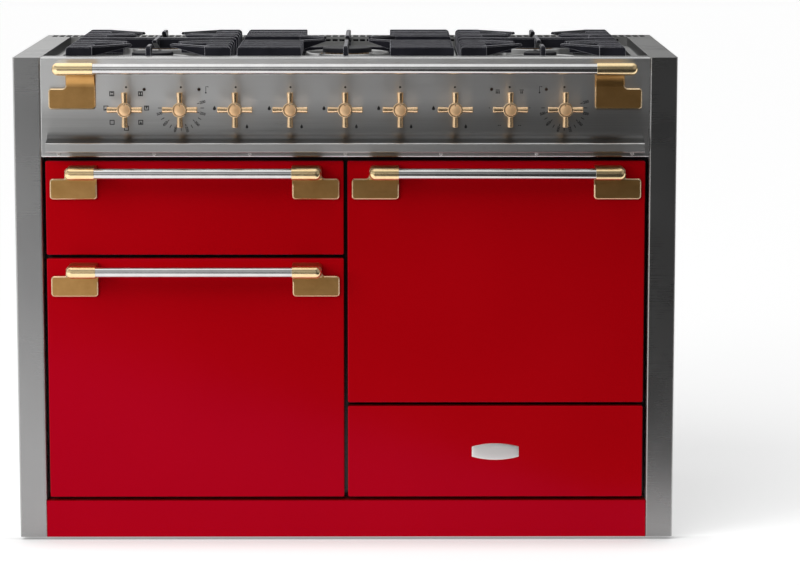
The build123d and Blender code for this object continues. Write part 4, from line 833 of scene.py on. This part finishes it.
def thermometer(bm, x, z):
    """Thermometer with a degree sign."""
    ink(bm, stroke((x, z + STEM_FOOT), (x, z + STEM_TOP), STEM_WIDTH))
    ink(bm, disc((x, z + BULB_UP), BULB_RADIUS))
    line_z = z + DEGREE_LINE_UP
    ink(bm, stroke((x, line_z), (x + DEGREE_LINE_LENGTH, line_z), DEGREE_LINE_WIDTH))
    ink(bm, disc((x + DEGREE_ASIDE, z + DEGREE_UP), DEGREE_RADIUS))


def thermostat_marks(bm, centre, glyph_side):
    """Ticks and numbers from three o'clock round the bottom, and a thermometer sign."""
    for i in range(TICK_COUNT):
        turn = TICK_START + i * TICK_STEP
        numbered = i % 2 == 0
        inner, outer = NUMBER_TICK if numbered else TICK_SPAN
        ink(bm, stroke(polar(centre, inner, turn), polar(centre, outer, turn), TICK_WIDTH))
        if numbered:
            number = FIRST_NUMBER + NUMBER_STEP * i // 2
            number_mesh(bm, str(number), polar(centre, NUMBER_RADIUS, turn), turn)
    thermometer(bm, centre[0] + glyph_side * GLYPH_ASIDE, centre[1] + GLYPH_UP)


def burner_marks(bm, centre):
    """A large and a small flame."""
    for turn, size in FLAMES.items():
        ink(bm, flame(polar(centre, FLAME_RADIUS, turn), size))


def function_marks(bm, centre):
    """Signs of the oven functions round the selector knob."""
    for turn, (upper, lower, cross) in FUNCTION_SIGNS.items():
        oven_sign(bm, polar(centre, ICON_RADIUS, turn), upper, lower, cross)


def comb(bm, place, teeth):
    """Broiler sign: a bar with teeth below it."""
    half = ICON_SIZE / 2
    top = place[1] + half
    ink(bm, stroke((place[0] - half, top), (place[0] + half, top), ICON_LINE))
    for i in range(teeth):
        x = place[0] + (i - (teeth - 1) / 2) * TOOTH_PITCH
        ink(bm, stroke((x, top - TOOTH_SPAN[0]), (x, top - TOOTH_SPAN[1]), TOOTH_WIDTH))


def broiler_marks(bm, centre):
    """Signs of the broiler settings: full and half heat above, dots for the lower steps."""
    for turn, teeth in COMBS.items():
        comb(bm, polar(centre, COMB_RADIUS, turn), teeth)
    for turn, dots in STEP_DOTS.items():
        place = polar(centre, ICON_RADIUS, turn)
        for i in range(dots):
            ink(bm, disc((place[0] + (i - (dots - 1) / 2) * STEP_DOT_PITCH, place[1]), STEP_DOT))


def dial(number):
    """Printed marks round one knob."""
    low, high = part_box(f"knob_{number}")
    centre = ((low.x + high.x) / 2, (low.z + high.z) / 2)

    def build(bm):
        ink(bm, disc(polar(centre, OFF_DOT_UP, 0), OFF_DOT))
        if number in THERMOSTAT_KNOBS:
            thermostat_marks(bm, centre, THERMOSTAT_KNOBS[number])
        elif number == SELECTOR_KNOB:
            function_marks(bm, centre)
        elif number == BROILER_KNOB:
            broiler_marks(bm, centre)
        else:
            burner_marks(bm, centre)

    new_piece(f"dial_marks_{number}", build, "ink", "cooker_body")


def screw(bm, place, outward):
    """Button-head screw with a six-sided socket, seated at a place and facing outward."""
    out = Vector(outward)
    across = out.orthogonal().normalized()
    up = out.cross(across)
    sixth = math.pi / 3

    def ring(radius, height, hexagon=False):
        made = []
        for i in range(SCREW_SIDES):
            turn = 2 * math.pi * i / SCREW_SIDES
            sector = (turn + sixth / 2) % sixth - sixth / 2
            reach = radius / math.cos(sector) if hexagon else radius
            point = Vector(place) + (across * math.cos(turn) + up * math.sin(turn)) * reach + out * height
            made.append(bm.verts.new(point))
        return made

    rings = [ring(SCREW_RADIUS, -SCREW_SEAT)]
    rings += [ring(width * SCREW_RADIUS, height * SCREW_HEIGHT) for width, height in SCREW_DOME]
    rings += [ring(SCREW_SOCKET, height * SCREW_HEIGHT, hexagon=True) for height in (1.0, SOCKET_FLOOR)]
    skin(bm, rings)


def screw_group(name, places, outward, body):
    """A group of screws as one piece, with smooth heads."""
    def build(bm):
        for place in places:
            screw(bm, place, outward)

    smooth(new_piece(name, build, "screw", body), SCREW_CREASE)


def lip_screws():
    """Screws that hold the panel's foot, just under the lip."""
    z = PANEL_LOW + LIP_SCREW_UP
    places = [((i - (LIP_SCREWS - 1) / 2) * LIP_SCREW_PITCH, Y_FRONT, z) for i in range(LIP_SCREWS)]
    screw_group("lip_screws", places, (0, -1, 0), "cooker_body")


def rear_screws():
    """Screws round the edge of the rear panel."""
    low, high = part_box("rear_panel")
    first = low.x + REAR_SCREW_INSET
    pitch = (high.x - low.x - 2 * REAR_SCREW_INSET) / (REAR_SCREW_COLUMNS - 1)
    columns = [first + pitch * i for i in range(REAR_SCREW_COLUMNS)]
    rows = (low.z + REAR_SCREW_INSET, high.z - REAR_SCREW_INSET)
    places = [(x, high.y, z) for x in columns for z in rows]
    side_rows = [low.z + (high.z - low.z) * share for share in REAR_SCREW_ROWS]
    places += [(x, high.y, z) for x in (columns[0], columns[-1]) for z in side_rows]
    screw_group("rear_screws", places, (0, 1, 0), "cooker_body")


def door_screws(side):
    """Screws at both sides of the inner face of a door, outside its plug."""
    low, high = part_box(f"{side}_door_skin")
    columns = (low.x + DOOR_SCREW_INSET, high.x - DOOR_SCREW_INSET)
    rows = [low.z + (high.z - low.z) * share for share in DOOR_SCREW_ROWS]
    places = [(x, high.y + DOOR_PLATE, z) for x in columns for z in rows]
    screw_group(f"{side}_door_screws", places, (0, 1, 0), f"{side}_door")


def hob_lands():
    """Pressed lands of the hob that rise between the grates."""
    grates = [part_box(f"grate_{place}") for place in ("left", "centre", "right")]
    low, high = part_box("hob_top")

    def build(bm):
        for (_, left), (right, _) in zip(grates, grates[1:]):
            middle = (left.x + right.x) / 2
            half = (right.x - left.x) / 2 - LAND_GAP
            side = [(share * half, low.z + up) for share, up in LAND_SECTION]
            points = [(middle + x, z) for x, z in side] + [(middle - x, z) for x, z in reversed(side)]
            prism(bm, points, low.y + LAND_INSET, high.y - LAND_INSET)

    new_piece("hob_lands", build, "hob_steel", "cooker_body")


def badge_outline(grow):
    """Barrel outline of the badge plate, moved in or out all round."""
    half_x, half_z = BADGE_HALF[0] + grow, BADGE_HALF[1] + grow
    end = BADGE_END + grow
    top = []
    for i in range(BADGE_STEPS + 1):
        x = half_x * (2 * i / BADGE_STEPS - 1)
        top.append((x, end + (half_z - end) * (1 - (x / half_x) ** 2)))
    return top + [(-x, -z) for x, z in top]


def badge_plate():
    """Blank barrel-shaped plate with a bevelled edge and a slightly crowned face."""
    low, high = BADGE_FRONT
    centre = Vector(((low.x + high.x) / 2, low.y, (low.z + high.z) / 2))

    def ring(bm, grow, depth):
        return [bm.verts.new(centre + Vector((x, depth, z))) for x, z in badge_outline(grow)]

    def build(bm):
        skin(bm, [ring(bm, grow, depth) for grow, depth in BADGE_LAYERS])

    smooth(new_piece("badge_plate", build, "badge", "storage_drawer"), BADGE_CREASE)


def floor_material():
    """White where it is near or looked at, and dark elsewhere, with a soft shadow at the front."""
    g = Graph("floor", Roughness=0.9, Specular_IOR_Level=0.0)
    place = g.parts(g.place())
    across = g.maths("MINIMUM", place["X"], FLOOR_BEND)
    depth = g.maths("ADD", place["Y"], g.maths("MULTIPLY", across, -FLOOR_SLANT))
    near = g.spread(depth, 0.0, 1.0, -FLOOR_EDGE - FLOOR_FADE / 2, -FLOOR_EDGE + FLOOR_FADE / 2)
    looked_at = g.node("ShaderNodeLightPath").outputs["Is Camera Ray"]
    lit = g.maths("MAXIMUM", near, looked_at)
    g.feed("Base Color", g.blend(lit, grey(FLOOR_FAR), grey(FLOOR_WHITE)))
    g.feed("Emission Color", g.blend(lit, grey(FLOOR_FAR / 2), grey(FLOOR_GLOW)))
    occlusion = g.node("ShaderNodeAmbientOcclusion", {"Distance": CONTACT_REACH}, samples=12)
    contact = g.spread(occlusion.outputs["AO"], CONTACT_DARK, 1.0, 0.5, 1.0)
    behind = g.spread(place["Y"], 0.0, 1.0, Y_FRONT, Y_FRONT + CONTACT_BACK)
    shade = g.maths("MAXIMUM", contact, behind)
    g.feed("Emission Strength", g.maths("MULTIPLY", g.seen_rays(), shade))
    return g.material


def floor():
    """Plain pale floor. Metal and bounced light find it dark some way in front of the cooker."""
    mesh = bpy.data.meshes.new("floor")
    corners = [(-1, -1), (1, -1), (1, 1), (-1, 1)]
    mesh.from_pydata([(x * FLOOR_REACH, y * FLOOR_REACH, 0) for x, y in corners], [], [(0, 1, 2, 3)])
    plane = bpy.data.objects.new("floor", mesh)
    bpy.context.scene.collection.objects.link(plane)
    mesh.materials.append(floor_material())


def brightness(g, height, levels):
    """Brightness of one side of the studio, by the height of a ray's direction."""
    ramp = g.node("ShaderNodeValToRGB", {"Fac": height})
    stops = ramp.color_ramp.elements
    while len(stops) < len(levels):
        stops.new(1)
    for stop, (z, level) in zip(stops, levels):
        stop.position = (z + 1) / 2
        stop.color = grey(level)
    return ramp.outputs["Color"]


def world():
    """Even soft light for matt surfaces, and a studio with a bright back and left for shiny ones."""
    made = bpy.data.worlds.new("studio")
    bpy.context.scene.world = made
    made.use_nodes = True
    g = Nodes(made.node_tree)
    background = g.tree.nodes["Background"]
    ray = g.parts(g.node("ShaderNodeTexCoord").outputs["Generated"])
    height = g.spread(ray["Z"], 0, 1, -1, 1)

    def turn(part, ends):
        return g.spread(part, 0, 1, *ends, interpolation_type="SMOOTHSTEP")

    to_right = turn(ray["X"], LEFT_TO_RIGHT)
    to_side = turn(ray["X"], RIGHT_TO_SIDE)
    right = g.blend(to_side, brightness(g, height, STUDIO_RIGHT), grey(STUDIO_SIDE))
    front = g.blend(to_right, brightness(g, height, STUDIO_LEFT), right)
    back_left = brightness(g, height, STUDIO_BACK_LEFT)
    back = g.blend(to_right, back_left, brightness(g, height, STUDIO_BACK_RIGHT))
    studio = g.blend(turn(ray["Y"], FRONT_TO_BACK), front, back)
    g.tree.links.new(g.blend(g.seen_rays(), grey(AMBIENT), studio), background.inputs["Color"])
    background.inputs["Strength"].default_value = 1.0


def add_lamp(name, data, towards):
    """Adds a lamp that shines from a direction and isn't mirrored in metal."""
    lamp = bpy.data.objects.new(name, data)
    lamp.rotation_euler = Vector(towards).to_track_quat("Z", "Y").to_euler()
    lamp.visible_glossy = False
    bpy.context.scene.collection.objects.link(lamp)
    return lamp


def sun(name, towards, strength, softness):
    """Wide soft light from a direction."""
    data = bpy.data.lights.new(name, "SUN")
    data.energy = strength
    data.angle = math.radians(softness)
    add_lamp(name, data, towards)


def softbox(name, place, aim, size, power):
    """Large lamp that fades across the front."""
    data = bpy.data.lights.new(name, "AREA")
    data.energy = power
    data.shape = "RECTANGLE"
    data.size, data.size_y = size
    lamp = add_lamp(name, data, Vector(place) - Vector(aim))
    lamp.location = place


def camera():
    """Camera at the photograph's place, aimed at the middle of the picture."""
    data = bpy.data.cameras.new("camera")
    data.sensor_width = SENSOR
    data.lens = FOCAL_PIXELS * SENSOR / IMAGE_WIDTH
    data.clip_end = CAMERA_SIGHT
    eye = bpy.data.objects.new("camera", data)
    eye.location = CAMERA_PLACE
    eye.rotation_euler = (CAMERA_PLACE - CAMERA_TARGET).to_track_quat("Z", "Y").to_euler()
    bpy.context.scene.collection.objects.link(eye)
    bpy.context.scene.camera = eye


finish_nodes()
for knob_number in KNOBS:
    dial(knob_number)
lip_screws()
rear_screws()
for door_side in ("left", "right"):
    door_screws(door_side)
hob_lands()
badge_plate()
floor()
world()
sun("key", **KEY)
sun("fill", **FILL)
softbox("left_box", **LEFT_BOX)
camera()
bpy.context.scene.view_settings.view_transform = "Standard"
